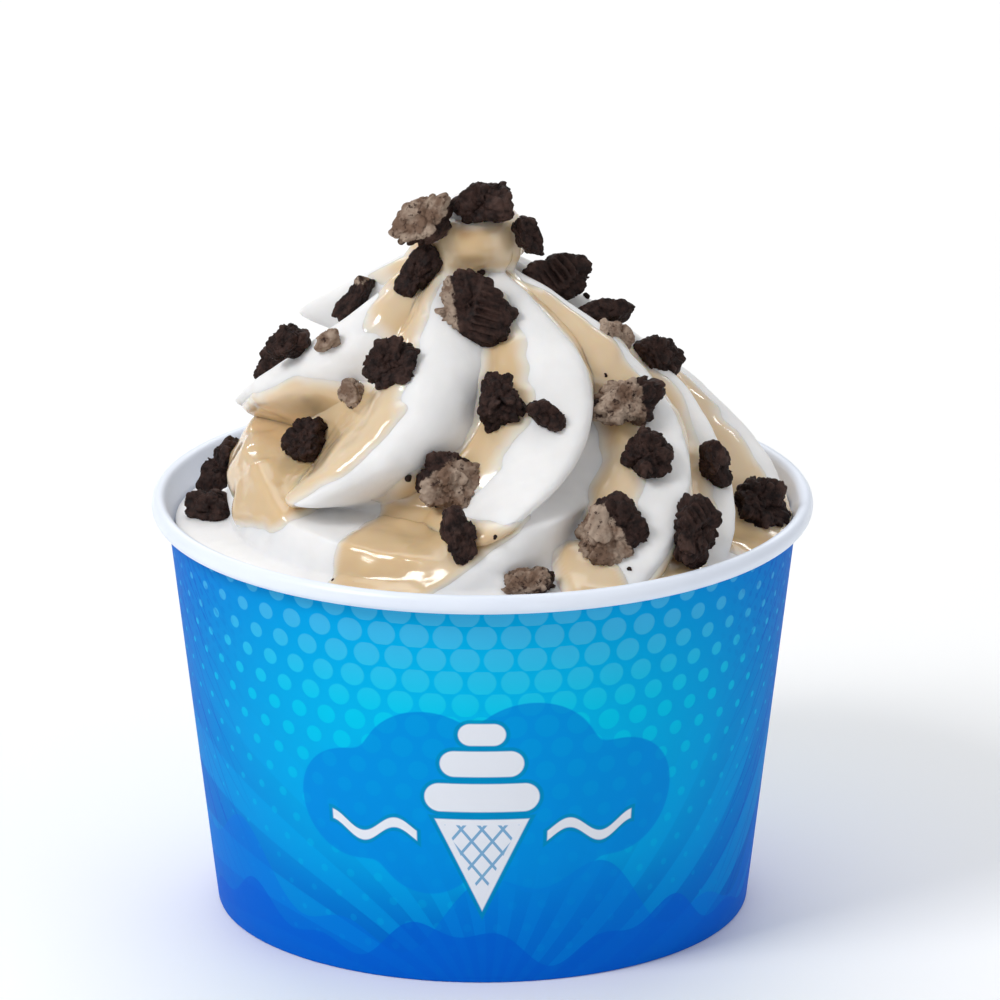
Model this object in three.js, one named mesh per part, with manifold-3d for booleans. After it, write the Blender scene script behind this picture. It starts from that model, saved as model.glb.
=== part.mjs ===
// A paper cup of soft ice cream: a piped swirl with ribbons of sauce in its grooves and broken cookie pieces.
//
// Millimetres, +Z up. The origin is on the cup's axis, at the level of the table.
// An azimuth is in degrees, from the front (-Y) towards the right (+X). A height is measured from the table.

import * as THREE from "three";
import { ConvexGeometry } from "three/addons/geometries/ConvexGeometry.js";
import { mergeVertices } from "three/addons/utils/BufferGeometryUtils.js";
import Module from "manifold-3d";

// The cup
const CUP_HEIGHT = 61.2;
const FOOT_RADIUS = 38.6; // outer, at the table
const WALL_TOP_RADIUS = 45.5; // outer, below the rolled rim
const WALL_THICKNESS = 0.7;
const RIM_RADIUS = 46.7; // of the roll's own centre line
const RIM_HALF_WIDTH = 1.1;
const RIM_HALF_HEIGHT = 1.4;
const RIM_STEPS = 9; // points round the roll
const RIM_ARC_FROM = -70; // degrees, seen in section: where the roll leaves the wall outside
const RIM_ARC = 250;
const HEM_THICKNESS = 1.5; // the doubled ring that the cup stands on
const BASE_RECESS = 3.0; // from the table up to the base's underside
const BASE_THICKNESS = 0.9;
const CUP_SEGMENTS = 72;
const GAP = 0.3; // between neighbouring pieces

// The ice cream
const FILL_HEIGHT = 57.6; // where it meets the cup's wall, on average
const FILL_TILT = 1.6; // how much higher it lies at the front
const PEAK_HEIGHT = 106.2;
const DOME_POWER = 1.45; // of the fall from the peak to the wall
const NECK_SHARE = 0.25; // how much slimmer the dome is below the knob
const NECK_FROM = 86;
const NECK_TO = 97;
const LEAN = -2.6; // the swirl's top leans to the left
const LEAN_FROM = 62;
const LEAN_TO = 88;
const TOP_LEAN = 1.3; // and the knob a little back
const TOP_LEAN_FROM = 91;
const TOP_LEAN_TO = 98;
const KNOB_RADIUS = 7.1; // the blob that ends the swirl
const KNOB_HEIGHT = 98.2;
const KNOB_SQUASH = 0.9; // of the knob below its middle: 1 is a ball, less is longer
const KNOB_BLEND = 1.2;
const PINCH_SHARE = 0.42; // how much the dome is drawn in below the knob, where it shows most
const PINCH_FROM = 93;
const PINCH_TO = 97;
const PINCH_AZIMUTH = 55;
const WALL_RISE = 1.2; // the height in which the surface turns from level at the wall to the dome
const AZIMUTH_STEPS = 90;
const HEIGHT_STEPS = 36;
const ROW_POWER = 1.15; // a higher power crowds the rows of points towards the wall
const GRID_TURN = 2.2; // degrees a millimetre, like the ridges
const GRID_STEADY = 84;

// The swirl's ridges. A crest passes azimuth `at` at MIDDLE, turns by `turn` degrees a millimetre and is steady
// above the height `steady`. `left` and `right` are the widths of its flanks in degrees. It ends at `foot`, where
// a nose is `nose` of its full width, and fades out above `top`.
const MIDDLE = 80;
const TURN_SOFTNESS = 2.5;
const NOSE_LENGTH = 11; // the height in which a ridge narrows to its nose
const NOSE_START = -1.5; // a ridge starts over this range, measured from its foot
const NOSE_FULL = 2.5;
const FADE_START = -3; // a ridge fades over this range, measured from its top
const FADE_END = 1;
const TOP_TURN_BACK = 1.3; // degrees a millimetre that a crest turns back below the knob, where it has no `back`
const TOP_TURN_FROM = 91.5;
const TOP_TURN_SOFTNESS = 1;
const CREST_POWER = 1.9; // a higher power makes a ridge sharper
const CREST_ROUNDING = 2; // degrees
const RIDGE_BLEND = 0.06; // of a ridge's height, where two run into each other
const RIDGES = [
  { at: -119, turn: 2.2, steady: 86, foot: 83.5, nose: 0.6, left: 22, right: 20, size: 1.28 },
  { at: -80, turn: 3.2, steady: 86, foot: 70, nose: 0.6, left: 26, right: 34, size: 1 },
  { at: -18, turn: 2.1, steady: 82, back: 2.9, foot: 66.6, nose: 0.55, left: 27, right: 32, size: 1 },
  { at: 34, turn: 2.5, steady: 84, back: 0.3, foot: 65, nose: 0.45, left: 30, right: 19, size: 1 },
  { at: 36, turn: 2.35, steady: 84, foot: 50, left: 13, right: 36, size: 0.85, top: 71 },
  { at: 71, turn: 2, steady: 80, foot: 50, left: 28, right: 15, size: 1 },
  { at: 95.5, turn: 2.1, steady: 84, foot: 50, left: 14, right: 14, size: 0.9 },
  { at: 126, turn: 2.1, steady: 84, foot: 50, left: 18, right: 22, size: 1.06 },
  { at: 166, turn: 2.1, steady: 84, foot: 52, left: 21, right: 21, size: 1 },
  { at: 204, turn: 2.1, steady: 84, foot: 66, nose: 0.45, left: 21, right: 21, size: 1 },
];
const [R0, R1, R2, R3, R4, R5, R6, R7, R8, R9] = RIDGES;

// The grooves between them
const GROOVE_SHARE = 0.33; // of the dome's radius
const GROOVE_FULL_TO = 94; // above this height a groove gets shallower
const GROOVE_END = 100;
const GROOVE_FULL_FROM = 68; // below this height too
const GROOVE_FOOT = 58;
const GROOVE_FOOT_SHARE = 0.5;

// The lower turn of ice cream, which shows below the noses on the left and in front. By azimuth: how high it
// reaches, how far inside the dome its face lies, and how much further in its face is at its foot.
const LOWER_TURN_TOP = [
  [-180, 72],
  [-135, 76],
  [-95, 72],
  [-65, 70.5],
  [-45, 66.5],
  [0, 64],
  [20, 58],
  [60, 50],
  [140, 50],
  [180, 72],
];
const LOWER_TURN_INSET = [
  [-180, 5],
  [-120, 5.5],
  [-85, 4.8],
  [-50, 3.6],
  [-20, 2.6],
  [20, 2.4],
  [180, 5],
];
const LOWER_TURN_HOLLOW = [
  [-180, 3],
  [-120, 3.5],
  [-85, 3.2],
  [-60, 2],
  [-30, 0.5],
  [0, 0],
  [140, 0],
  [180, 3],
];
const HOLLOW_HEIGHT = 59.5; // the hollow is full below this height
const HOLLOW_FALL = 3; // the height in which it falls to a third
const TURN_EDGE_START = -1.2; // the turn's upper edge is rounded over this range, measured from its top
const TURN_EDGE_END = 0.8;
const TURN_BACK_SHARE = 1.3; // of a groove's depth: how far in it lies above its top
const TURN_BLEND = 0.6;

// The sauce. Each ribbon lies between two edges, and an edge follows a crest at a distance in degrees, or
// stands at an azimuth of its own.
const SAUCE_THICKNESS = 1.2;
const SAUCE_EDGE = 1.9; // how far in from its edge a ribbon has its full thickness
const SAUCE_WALL_START = -1; // it thins out over this range, measured from the wall's line
const SAUCE_WALL_FULL = 1.2;
const RIBBON_CORNER = 1.6; // rounding of a ribbon's corners
const RIBBON_BLEND = 0.8; // and of the inner corners where two ribbons meet
const LEAST_RADIUS = 4; // for the width of a degree near the peak
const WAVES = [
  { size: 0.5, byHeight: 0.55, byAzimuth: 0.05 },
  { size: 0.35, byHeight: -1.1, byAzimuth: 0.13 },
];
const WAVE_ACROSS = 0.5; // how much of the waves a ribbon's sides and ends follow
const WAVE_UP = 0.6;
const RIBBONS = [
  { from: [R1, 8], to: [R2, 0], low: 64, high: 82.6 },
  { from: [R1, 5], to: [null, -58], low: 67.5, high: 77.5 },
  { from: [R2, -23], to: [R2, -3.5], low: 79, high: 98 },
  { from: [R1, 0], to: [R2, -3.5], low: 92.4, high: 98, rise: -0.18 },
  { from: [R0, 3], to: [R1, 15], low: 92.6, high: 98 },
  { from: [null, -71], to: [null, -45], low: 60.2, high: 74, rise: 0.2 },
  { from: [R2, 22], to: [R3, -14], low: 71, high: 98 },
  { from: [R2, 20], to: [R3, -13], low: 66, high: 76 },
  { from: [null, -31], to: [R4, 1], low: 50, high: 69 },
  { from: [R2, 14], to: [null, -6], low: 67.5, high: 74 },
  { from: [R3, 5], to: [R5, -3.5], low: 80, high: 98 },
  { from: [R5, -18.5], to: [R5, -9.5], low: 66, high: 82 },
  { from: [null, 15.5], to: [null, 28], low: 50, high: 64.5 },
  { from: [R5, 1], to: [R6, -3.5], low: 50, high: 88 },
  { from: [R6, 10], to: [R7, -4], low: 58, high: 78 },
  { from: [null, 58], to: [null, 92], low: 50, high: 61.8 },
  { from: [R7, 14], to: [R8, -3], low: 50, high: 98 },
  { from: [R8, 10], to: [R9, -6], low: 63, high: 98 },
  { from: [null, 150], to: [null, 186], low: 50, high: 66 },
  { from: [R9, 8], to: [R0, -14], low: 70, high: 98 },
];
const RISE_FROM = -67; // the azimuth from which a ribbon's lower edge rises, by `rise` millimetres a degree
const KNOB_SAUCE = { low: 95.8, high: 103.6 }; // it goes all round the knob

// The cookie pieces. Each lies on the ice cream at `at` = [azimuth, height], with its broad face turned to
// `look` = [azimuth, degrees above level], its long side turned by `turn` degrees from level, and
// `size` = [length, width, thickness]. `out` lifts its middle off the surface.
const COOKIES = [
  // name, at, look, turn, size, out
  ["top_left", [-59.5, 103], [-20, 20], 38, [11.2, 6.2, 5.1], 3.9],
  ["top", [23, 105.1], [0, 30], 12, [9.0, 7.1, 5.4], 2],
  ["top_right", [59, 101.3], [30, 10], 108, [7.2, 3.4, 4.0], 2.2],
  ["knob_left", [-53.5, 96], [-30, 25], 60, [8.8, 5.2, 3.8], 1.5],
  ["left_leaf", [-97.1, 89.5], [-35, 20], 68, [9.0, 3.5, 3.4], 1.4],
  ["left_high", [-75.6, 84.9], [-35, 25], 60, [5.6, 5.0, 4.3], 4.6],
  ["left_low", [-93.6, 79.6], [-35, 20], 28, [8.4, 5.6, 4.8], 2.6],
  ["left_chip", [-59.2, 87.4], [-35, 25], 52, [4.7, 2.8, 2.5], 0.8],
  ["front_left_high", [-27.1, 86.9], [-22, 25], 40, [8.7, 7.4, 4.8], 1.5],
  ["front_left_chip", [-46.7, 80.6], [-30, 25], -52, [5.6, 3.6, 3.0], 0.8],
  ["front_left_low", [-62.6, 72.9], [-35, 25], 34, [8.0, 6.5, 4.9], 1.6],
  ["wall_left_high", [-102.7, 62.1], [-45, 20], 68, [10.1, 4.8, 4.8], 3.6],
  ["wall_left_low", [-87.3, 58.6], [-40, 30], 10, [9.4, 5.3, 5.0], 1.6],
  ["big_wafer", [5.2, 92.2], [6, 30], -46, [13.6, 9.8, 4.7], 1.9],
  ["right_wafer", [101.2, 93.1], [30, 20], -8, [12.4, 6.8, 4.4], 2.2],
  ["right_slab", [94.7, 86.9], [35, 40], -8, [10.8, 3.5, 3.5], 2.6],
  ["right_cream", [79.8, 85.9], [35, 15], -22, [6.9, 5.1, 3.9], 2.9],
  ["right_corner", [99.5, 80.1], [45, 25], -18, [9.0, 6.2, 4.4], 1.8],
  ["middle_cream", [53.9, 80], [30, 22], -4, [11.4, 7.1, 5.1], 1.9],
  ["middle_block", [12.5, 81.8], [8, 22], 84, [8.6, 6.6, 5.0], 1.8],
  ["middle_crumb", [23.6, 80.7], [18, 22], -32, [6.6, 3.9, 3.4], 1.2],
  ["front_block", [-7.7, 71.9], [-4, 22], 0, [10.5, 8.9, 5.8], 2],
  ["front_wedge", [-4, 66.9], [-2, 15], -78, [9.7, 4.8, 4.3], 1.5],
  ["right_round", [46.9, 74.1], [32, 22], 50, [7.5, 6.6, 4.7], 1.7],
  ["front_right_cream", [29.3, 65.7], [20, 22], 42, [12.8, 9.5, 5.5], 1.9],
  ["front_rim", [9.2, 60.5], [6, 40], 0, [8.4, 4.8, 4.0], 0.4],
  ["far_right_high", [67.8, 69.5], [45, 15], -80, [8.2, 4.0, 3.9], 2.5],
  ["far_right_low", [45, 64.6], [40, 22], 66, [10.8, 7.2, 5.0], 2.3],
  ["wall_right", [78.2, 61.6], [42, 28], -16, [9.4, 7.8, 4.7], 0.9],
  ["back_high", [188, 96], [190, 30], 30, [9.4, 7.0, 4.8], 1.8],
  ["back_right_high", [150, 86.5], [152, 28], -40, [8.2, 6.4, 4.6], 1.7],
  ["back_left_high", [209, 79], [209, 28], 15, [10.4, 7.6, 4.8], 1.9],
  ["back_middle", [180, 78], [180, 28], -75, [9.0, 6.2, 4.8], 1.7],
  ["back_right_low", [140, 72], [142, 28], 35, [9.8, 7.4, 5.0], 1.9],
  ["back_left_low", [208, 68], [208, 28], -20, [8.6, 6.8, 4.8], 1.8],
  ["back_foot", [164, 63.5], [164, 35], 60, [8.2, 6.4, 4.6], 1.5],
  ["back_left_foot", [236, 62], [236, 35], 10, [9.0, 6.6, 4.8], 1.6],
];
const COOKIE_CORNERS = 7; // of the outline of each layer
const COOKIE_LAYERS = [
  { level: -1, reach: 0.9 },
  { level: 0.1, reach: 1.06 },
  { level: 1, reach: 0.9 },
];
const OUTLINE_POWER = 3; // 2 is an ellipse, more is squarer
const CORNER_DRIFT = 0.7; // of the step from one corner to the next
const LEAST_REACH = 0.76; // of a corner, as a share of the outline
const LEAST_LEVEL = 0.8;
const FIRST_SEED = 11;
const SEED_STEP = 17;
const POCKET_GROWTH = 2.4; // in gaps, over the whole of a side

const PAPER_COLOUR = 0x1b8fdc;
const ICE_CREAM_COLOUR = 0xf1efec;
const COOKIE_COLOUR = 0x2f201d;

const wasm = await Module();
wasm.setup();

const radians = THREE.MathUtils.degToRad;
const clamp = THREE.MathUtils.clamp;

function smoothstep(from, to, value) {
  const share = clamp((value - from) / (to - from), 0, 1);
  return share * share * (3 - 2 * share);
}

// The larger of two values, with the corner between them rounded over `width`.
function roundedMax(a, b, width) {
  const share = clamp(0.5 + (0.5 * (a - b)) / width, 0, 1);
  return b + (a - b) * share + width * share * (1 - share);
}

// Zero below zero, the value itself above, with a soft bend between.
function softRamp(value, softness) {
  return softness * Math.log1p(Math.exp(value / softness));
}

// An angle brought to the range from -180 to 180.
function turned(angle) {
  return angle - 360 * Math.floor((angle + 180) / 360);
}

// A value read off a line through [place, value] knots.
function along(knots, place) {
  let [lastPlace, lastValue] = knots[0];
  for (const [nextPlace, nextValue] of knots) {
    if (place <= nextPlace) {
      const share = nextPlace > lastPlace ? (place - lastPlace) / (nextPlace - lastPlace) : 1;
      return lastValue + (nextValue - lastValue) * clamp(share, 0, 1);
    }
    [lastPlace, lastValue] = [nextPlace, nextValue];
  }
  return lastValue;
}

function fillHeight(azimuth) {
  return FILL_HEIGHT + FILL_TILT * Math.cos(radians(azimuth));
}

function innerWallRadius(height) {
  const share = height / (CUP_HEIGHT - 2 * RIM_HALF_HEIGHT);
  return FOOT_RADIUS + (WALL_TOP_RADIUS - FOOT_RADIUS) * share - WALL_THICKNESS;
}

// The dome that the ridges' crests touch, with the knob on its top.
function domeRadius(azimuth, height) {
  const foot = fillHeight(azimuth);
  const share = clamp((height - foot) / (PEAK_HEIGHT - foot), 0, 1);
  const neck = 1 - NECK_SHARE * smoothstep(NECK_FROM, NECK_TO, height);
  const side = 0.5 + 0.5 * Math.cos(radians(azimuth - PINCH_AZIMUTH));
  const pinch = 1 - PINCH_SHARE * side * smoothstep(PINCH_FROM, PINCH_TO, height);
  const dome = (innerWallRadius(foot) - GAP) * (1 - share ** DOME_POWER) * neck * pinch;
  if (height < KNOB_HEIGHT - KNOB_RADIUS || height >= PEAK_HEIGHT) return dome;
  const rise = (Math.max(height - KNOB_HEIGHT, 0) * KNOB_RADIUS) / (PEAK_HEIGHT - KNOB_HEIGHT);
  const fall = Math.max(KNOB_HEIGHT - height, 0) * KNOB_SQUASH;
  const knob = Math.sqrt(Math.max(KNOB_RADIUS ** 2 - rise ** 2 - fall ** 2, 0));
  return height > KNOB_HEIGHT ? knob : roundedMax(dome, knob, KNOB_BLEND);
}

function crestAzimuth(ridge, height) {
  const straight = ridge.at + ridge.turn * (height - MIDDLE);
  const steadied = straight - ridge.turn * softRamp(height - ridge.steady, TURN_SOFTNESS);
  return steadied - (ridge.back ?? TOP_TURN_BACK) * softRamp(height - TOP_TURN_FROM, TOP_TURN_SOFTNESS);
}

// How much of a ridge is there at a height: it starts at its foot and, if it has a top, fades out there.
function ridgeStrength(ridge, height) {
  const start = smoothstep(ridge.foot + NOSE_START, ridge.foot + NOSE_FULL, height);
  if (!ridge.top) return ridge.size * start;
  return ridge.size * start * (1 - smoothstep(ridge.top + FADE_START, ridge.top + FADE_END, height));
}

// 1 on a crest, 0 at the bottom of a groove.
function ridgeShare(azimuth, height) {
  let share = 0;
  for (const ridge of RIDGES) {
    const away = turned(azimuth - crestAzimuth(ridge, height));
    const nose = ridge.nose ?? 1;
    const taper = nose + (1 - nose) * smoothstep(ridge.foot, ridge.foot + NOSE_LENGTH, height);
    const width = (away < 0 ? ridge.left : ridge.right) * taper;
    const across = clamp(Math.hypot(away, CREST_ROUNDING) / width, 0, 1);
    const lobe = Math.cos((across * Math.PI) / 2) ** CREST_POWER;
    share = roundedMax(share, lobe * ridgeStrength(ridge, height), RIDGE_BLEND);
  }
  return share;
}

function grooveDepth(height) {
  const share = clamp((height - FILL_HEIGHT) / (PEAK_HEIGHT - FILL_HEIGHT), 0, 1);
  const dome = innerWallRadius(FILL_HEIGHT) * (1 - share ** DOME_POWER);
  const upper = 1 - smoothstep(GROOVE_FULL_TO, GROOVE_END, height);
  const lower = GROOVE_FOOT_SHARE + (1 - GROOVE_FOOT_SHARE) * smoothstep(GROOVE_FOOT, GROOVE_FULL_FROM, height);
  return GROOVE_SHARE * dome * upper * lower;
}

// The lower turn's face, measured outwards from the dome.
function lowerTurnOffset(azimuth, height) {
  const side = turned(azimuth);
  const top = along(LOWER_TURN_TOP, side);
  const share = 1 - smoothstep(top + TURN_EDGE_START, top + TURN_EDGE_END, height);
  const fall = Math.exp(-Math.max(height - HOLLOW_HEIGHT, 0) / HOLLOW_FALL);
  const inset = along(LOWER_TURN_INSET, side) + along(LOWER_TURN_HOLLOW, side) * fall;
  return -inset * share - grooveDepth(height) * TURN_BACK_SHARE * (1 - share);
}

function iceCreamRadius(azimuth, height) {
  const swirl = -grooveDepth(height) * (1 - ridgeShare(azimuth, height));
  const offset = roundedMax(swirl, lowerTurnOffset(azimuth, height), TURN_BLEND);
  const rise = smoothstep(0, WALL_RISE, height - fillHeight(azimuth));
  return Math.max(domeRadius(azimuth, height) + offset * rise, 0);
}

function edgeAzimuth([ridge, offset], height) {
  return ridge ? crestAzimuth(ridge, height) + offset : offset;
}

// How far a point lies inside the sauce's outline, in millimetres.
function sauceDepth(azimuth, height) {
  const millimetres = radians(1) * Math.max(iceCreamRadius(azimuth, height), LEAST_RADIUS);
  let wave = 0;
  for (const { size, byHeight, byAzimuth } of WAVES) {
    wave += size * Math.sin(byHeight * height + byAzimuth * azimuth);
  }
  let inside = Math.min(height - KNOB_SAUCE.low, KNOB_SAUCE.high - height);
  for (const ribbon of RIBBONS) {
    const from = turned(azimuth - edgeAzimuth(ribbon.from, height));
    const to = turned(edgeAzimuth(ribbon.to, height) - azimuth);
    const low = ribbon.low + (ribbon.rise ?? 0) * Math.max(turned(azimuth - RISE_FROM), 0);
    const across = Math.min(from, to) * millimetres + WAVE_ACROSS * wave;
    const up = Math.min(height - low, ribbon.high - height) + WAVE_UP * wave;
    inside = roundedMax(inside, -roundedMax(-across, -up, RIBBON_CORNER), RIBBON_BLEND);
  }
  return inside;
}

// How thick the sauce lies: full inside a ribbon, falling off roundly towards its edges.
function sauceThickness(azimuth, height) {
  const share = clamp(sauceDepth(azimuth, height) / SAUCE_EDGE, 0, 1);
  const roundEdge = Math.sqrt(1 - (1 - share) ** 2);
  const atWall = smoothstep(SAUCE_WALL_START, SAUCE_WALL_FULL, height - fillHeight(azimuth));
  return SAUCE_THICKNESS * roundEdge * atWall;
}

function surfacePoint(azimuth, height) {
  const free = iceCreamRadius(azimuth, height) + sauceThickness(azimuth, height);
  const radius = Math.min(free, innerWallRadius(height) - GAP);
  const bodyLean = LEAN * smoothstep(LEAN_FROM, LEAN_TO, height);
  const lean = bodyLean + TOP_LEAN * smoothstep(TOP_LEAN_FROM, TOP_LEAN_TO, height);
  const angle = radians(azimuth);
  return new THREE.Vector3(lean + radius * Math.sin(angle), -radius * Math.cos(angle), height);
}

// A closed geometry from rings of points, each ring running anticlockwise seen from above, from the lowest ring
// to the highest, with a middle point under the first and over the last.
function ringedGeometry(rings, bottom, top) {
  const count = rings[0].length;
  const points = [bottom, ...rings.flat(), top];
  const last = points.length - 1;
  const faces = [];
  for (let step = 0; step < count; step++) {
    const next = (step + 1) % count;
    faces.push(0, 1 + next, 1 + step);
    for (let row = 0; row < rings.length - 1; row++) {
      const low = 1 + row * count;
      const high = low + count;
      faces.push(low + step, low + next, high + next);
      faces.push(low + step, high + next, high + step);
    }
    faces.push(last - count + step, last - count + next, last);
  }
  return new THREE.BufferGeometry().setFromPoints(points).setIndex(faces);
}

function solidOf(geometry) {
  const bare = geometry.clone();
  bare.deleteAttribute("normal");
  bare.deleteAttribute("uv");
  const merged = mergeVertices(bare, 1e-4);
  const triVerts = new Uint32Array(merged.index.array);
  const vertProperties = merged.attributes.position.array;
  return new wasm.Manifold(new wasm.Mesh({ numProp: 3, vertProperties, triVerts }));
}

function geometryOf(solid) {
  const mesh = solid.getMesh();
  const geometry = new THREE.BufferGeometry();
  geometry.setAttribute("position", new THREE.BufferAttribute(mesh.vertProperties, mesh.numProp));
  geometry.setIndex(new THREE.BufferAttribute(mesh.triVerts, 1));
  geometry.computeVertexNormals();
  return geometry;
}

function cupMesh() {
  const wallTop = CUP_HEIGHT - 2 * RIM_HALF_HEIGHT;
  const rimMiddle = CUP_HEIGHT - RIM_HALF_HEIGHT;
  const insideFoot = BASE_RECESS + BASE_THICKNESS;
  const profile = [
    new THREE.Vector2(0, BASE_RECESS),
    new THREE.Vector2(FOOT_RADIUS - HEM_THICKNESS, BASE_RECESS),
    new THREE.Vector2(FOOT_RADIUS - HEM_THICKNESS, 0),
    new THREE.Vector2(FOOT_RADIUS, 0),
    new THREE.Vector2(WALL_TOP_RADIUS, wallTop),
  ];
  for (let step = 0; step < RIM_STEPS; step++) {
    const angle = radians(RIM_ARC_FROM + (RIM_ARC * step) / (RIM_STEPS - 1));
    profile.push(
      new THREE.Vector2(
        RIM_RADIUS + RIM_HALF_WIDTH * Math.cos(angle),
        rimMiddle + RIM_HALF_HEIGHT * Math.sin(angle),
      ),
    );
  }
  profile.push(new THREE.Vector2(innerWallRadius(wallTop), wallTop));
  profile.push(new THREE.Vector2(innerWallRadius(insideFoot), insideFoot));
  profile.push(new THREE.Vector2(0, insideFoot));
  const turnedProfile = new THREE.LatheGeometry(profile, CUP_SEGMENTS).rotateX(Math.PI / 2);
  const material = new THREE.MeshStandardMaterial({ color: PAPER_COLOUR, roughness: 0.4, metalness: 0 });
  const mesh = new THREE.Mesh(turnedProfile, material);
  mesh.name = "cup";
  return mesh;
}

// The columns of points turn with the ridges, so that a crest runs along a column.
function gridTurn(height) {
  const straight = GRID_TURN * (height - MIDDLE);
  const steadied = straight - GRID_TURN * softRamp(height - GRID_STEADY, TURN_SOFTNESS);
  return steadied - TOP_TURN_BACK * softRamp(height - TOP_TURN_FROM, TOP_TURN_SOFTNESS);
}

function iceCreamSolid() {
  const bottomHeight = BASE_RECESS + BASE_THICKNESS + GAP;
  const rings = [[]];
  for (let step = 0; step < AZIMUTH_STEPS; step++) {
    const angle = radians((360 * step) / AZIMUTH_STEPS + gridTurn(FILL_HEIGHT));
    const radius = innerWallRadius(bottomHeight) - GAP;
    rings[0].push(new THREE.Vector3(radius * Math.sin(angle), -radius * Math.cos(angle), bottomHeight));
  }
  for (let row = 0; row < HEIGHT_STEPS; row++) {
    const share = Math.sin(((row / HEIGHT_STEPS) * Math.PI) / 2) ** ROW_POWER;
    const turn = gridTurn(FILL_HEIGHT + (PEAK_HEIGHT - FILL_HEIGHT) * share);
    const ring = [];
    for (let step = 0; step < AZIMUTH_STEPS; step++) {
      const azimuth = (360 * step) / AZIMUTH_STEPS + turn;
      const foot = fillHeight(azimuth);
      ring.push(surfacePoint(azimuth, foot + (PEAK_HEIGHT - foot) * share));
    }
    rings.push(ring);
  }
  const bottom = new THREE.Vector3(0, 0, bottomHeight);
  return solidOf(ringedGeometry(rings, bottom, new THREE.Vector3(LEAN + TOP_LEAN, 0, PEAK_HEIGHT)));
}

// Random numbers from 0 to 1 that are the same each time for the same seed.
function randomFrom(seed) {
  const factor = 1664525;
  const step = 1013904223;
  const range = 2 ** 32;
  let state = seed;
  return () => {
    state = (Math.imul(state, factor) + step) >>> 0;
    return state / range;
  };
}

// The corners of a broken piece: layers of an uneven outline that is squarer than an ellipse.
function cookieCorners([length, width, thickness], seed) {
  const random = randomFrom(seed);
  const corners = [];
  for (const { level, reach } of COOKIE_LAYERS) {
    for (let corner = 0; corner < COOKIE_CORNERS; corner++) {
      const drift = CORNER_DRIFT * (random() - 0.5);
      const angle = (2 * Math.PI * (corner + drift)) / COOKIE_CORNERS;
      const x = Math.cos(angle);
      const y = Math.sin(angle);
      const power = Math.abs(x) ** OUTLINE_POWER + Math.abs(y) ** OUTLINE_POWER;
      const outline = power ** (-1 / OUTLINE_POWER);
      const radius = reach * outline * (LEAST_REACH + (1 - LEAST_REACH) * random());
      const height = level * (LEAST_LEVEL + (1 - LEAST_LEVEL) * random());
      const place = new THREE.Vector3(radius * x * length, radius * y * width, height * thickness);
      corners.push(place.multiplyScalar(0.5));
    }
  }
  return corners;
}

function cookieMesh([name, at, look, turn, size, out], index) {
  const material = new THREE.MeshStandardMaterial({ color: COOKIE_COLOUR, roughness: 0.85, metalness: 0 });
  const corners = cookieCorners(size, FIRST_SEED + SEED_STEP * index);
  const mesh = new THREE.Mesh(new ConvexGeometry(corners), material);
  const azimuth = radians(look[0]);
  const face = new THREE.Vector3(Math.sin(azimuth), -Math.cos(azimuth), 0);
  face.multiplyScalar(Math.cos(radians(look[1])));
  face.z = Math.sin(radians(look[1]));
  const level = new THREE.Vector3(Math.cos(azimuth), Math.sin(azimuth), 0);
  const up = new THREE.Vector3().crossVectors(face, level);
  mesh.matrix.makeBasis(level, up, face);
  mesh.quaternion.setFromRotationMatrix(mesh.matrix);
  mesh.rotateZ(radians(turn));
  mesh.position.copy(surfacePoint(...at)).addScaledVector(face, out);
  mesh.name = "cookie_" + name;
  return mesh;
}

// The room that a piece takes in the ice cream: the piece itself, grown by the gap on every side.
function pocketSolid(mesh, size) {
  const growth = size.map((length) => (length + POCKET_GROWTH * GAP) / length);
  const room = mesh.geometry.clone().scale(...growth);
  mesh.updateMatrix();
  return solidOf(room.applyMatrix4(mesh.matrix));
}

function iceCreamMesh(cookies) {
  let solid = iceCreamSolid();
  cookies.forEach((mesh, index) => {
    const size = COOKIES[index][4];
    solid = solid.subtract(pocketSolid(mesh, size));
  });
  const whole = solid.decompose().sort((a, b) => b.volume() - a.volume())[0];
  const material = new THREE.MeshStandardMaterial({ color: ICE_CREAM_COLOUR, roughness: 0.45, metalness: 0 });
  const mesh = new THREE.Mesh(geometryOf(whole), material);
  mesh.name = "ice_cream";
  return mesh;
}

const sundae = new THREE.Group();
const cookies = COOKIES.map(cookieMesh);
sundae.add(cupMesh());
sundae.add(iceCreamMesh(cookies));
sundae.add(...cookies);

export default sundae;
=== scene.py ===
# The looks of a paper cup of soft ice cream with caramel sauce and broken cookie pieces.
# Lengths are in millimetres up to the moment when a mesh is made. An azimuth is in degrees, from the front
# (-Y) towards the right (+X), and a height is measured from the table.

import math

import bmesh
import bpy
import numpy as np
from mathutils import Matrix, Vector


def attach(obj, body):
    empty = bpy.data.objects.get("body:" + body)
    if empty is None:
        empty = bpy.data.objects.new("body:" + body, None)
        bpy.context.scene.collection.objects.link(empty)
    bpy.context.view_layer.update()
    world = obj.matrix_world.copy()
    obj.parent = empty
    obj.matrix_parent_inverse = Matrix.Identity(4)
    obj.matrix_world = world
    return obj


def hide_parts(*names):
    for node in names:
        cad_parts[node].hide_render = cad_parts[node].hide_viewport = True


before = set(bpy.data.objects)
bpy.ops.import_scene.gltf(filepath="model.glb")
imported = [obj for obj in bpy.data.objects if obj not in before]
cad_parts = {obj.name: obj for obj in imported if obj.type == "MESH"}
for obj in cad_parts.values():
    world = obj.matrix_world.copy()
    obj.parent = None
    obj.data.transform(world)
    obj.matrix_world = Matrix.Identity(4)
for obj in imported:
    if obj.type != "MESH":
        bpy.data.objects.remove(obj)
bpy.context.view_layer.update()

MM = 0.001

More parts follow.
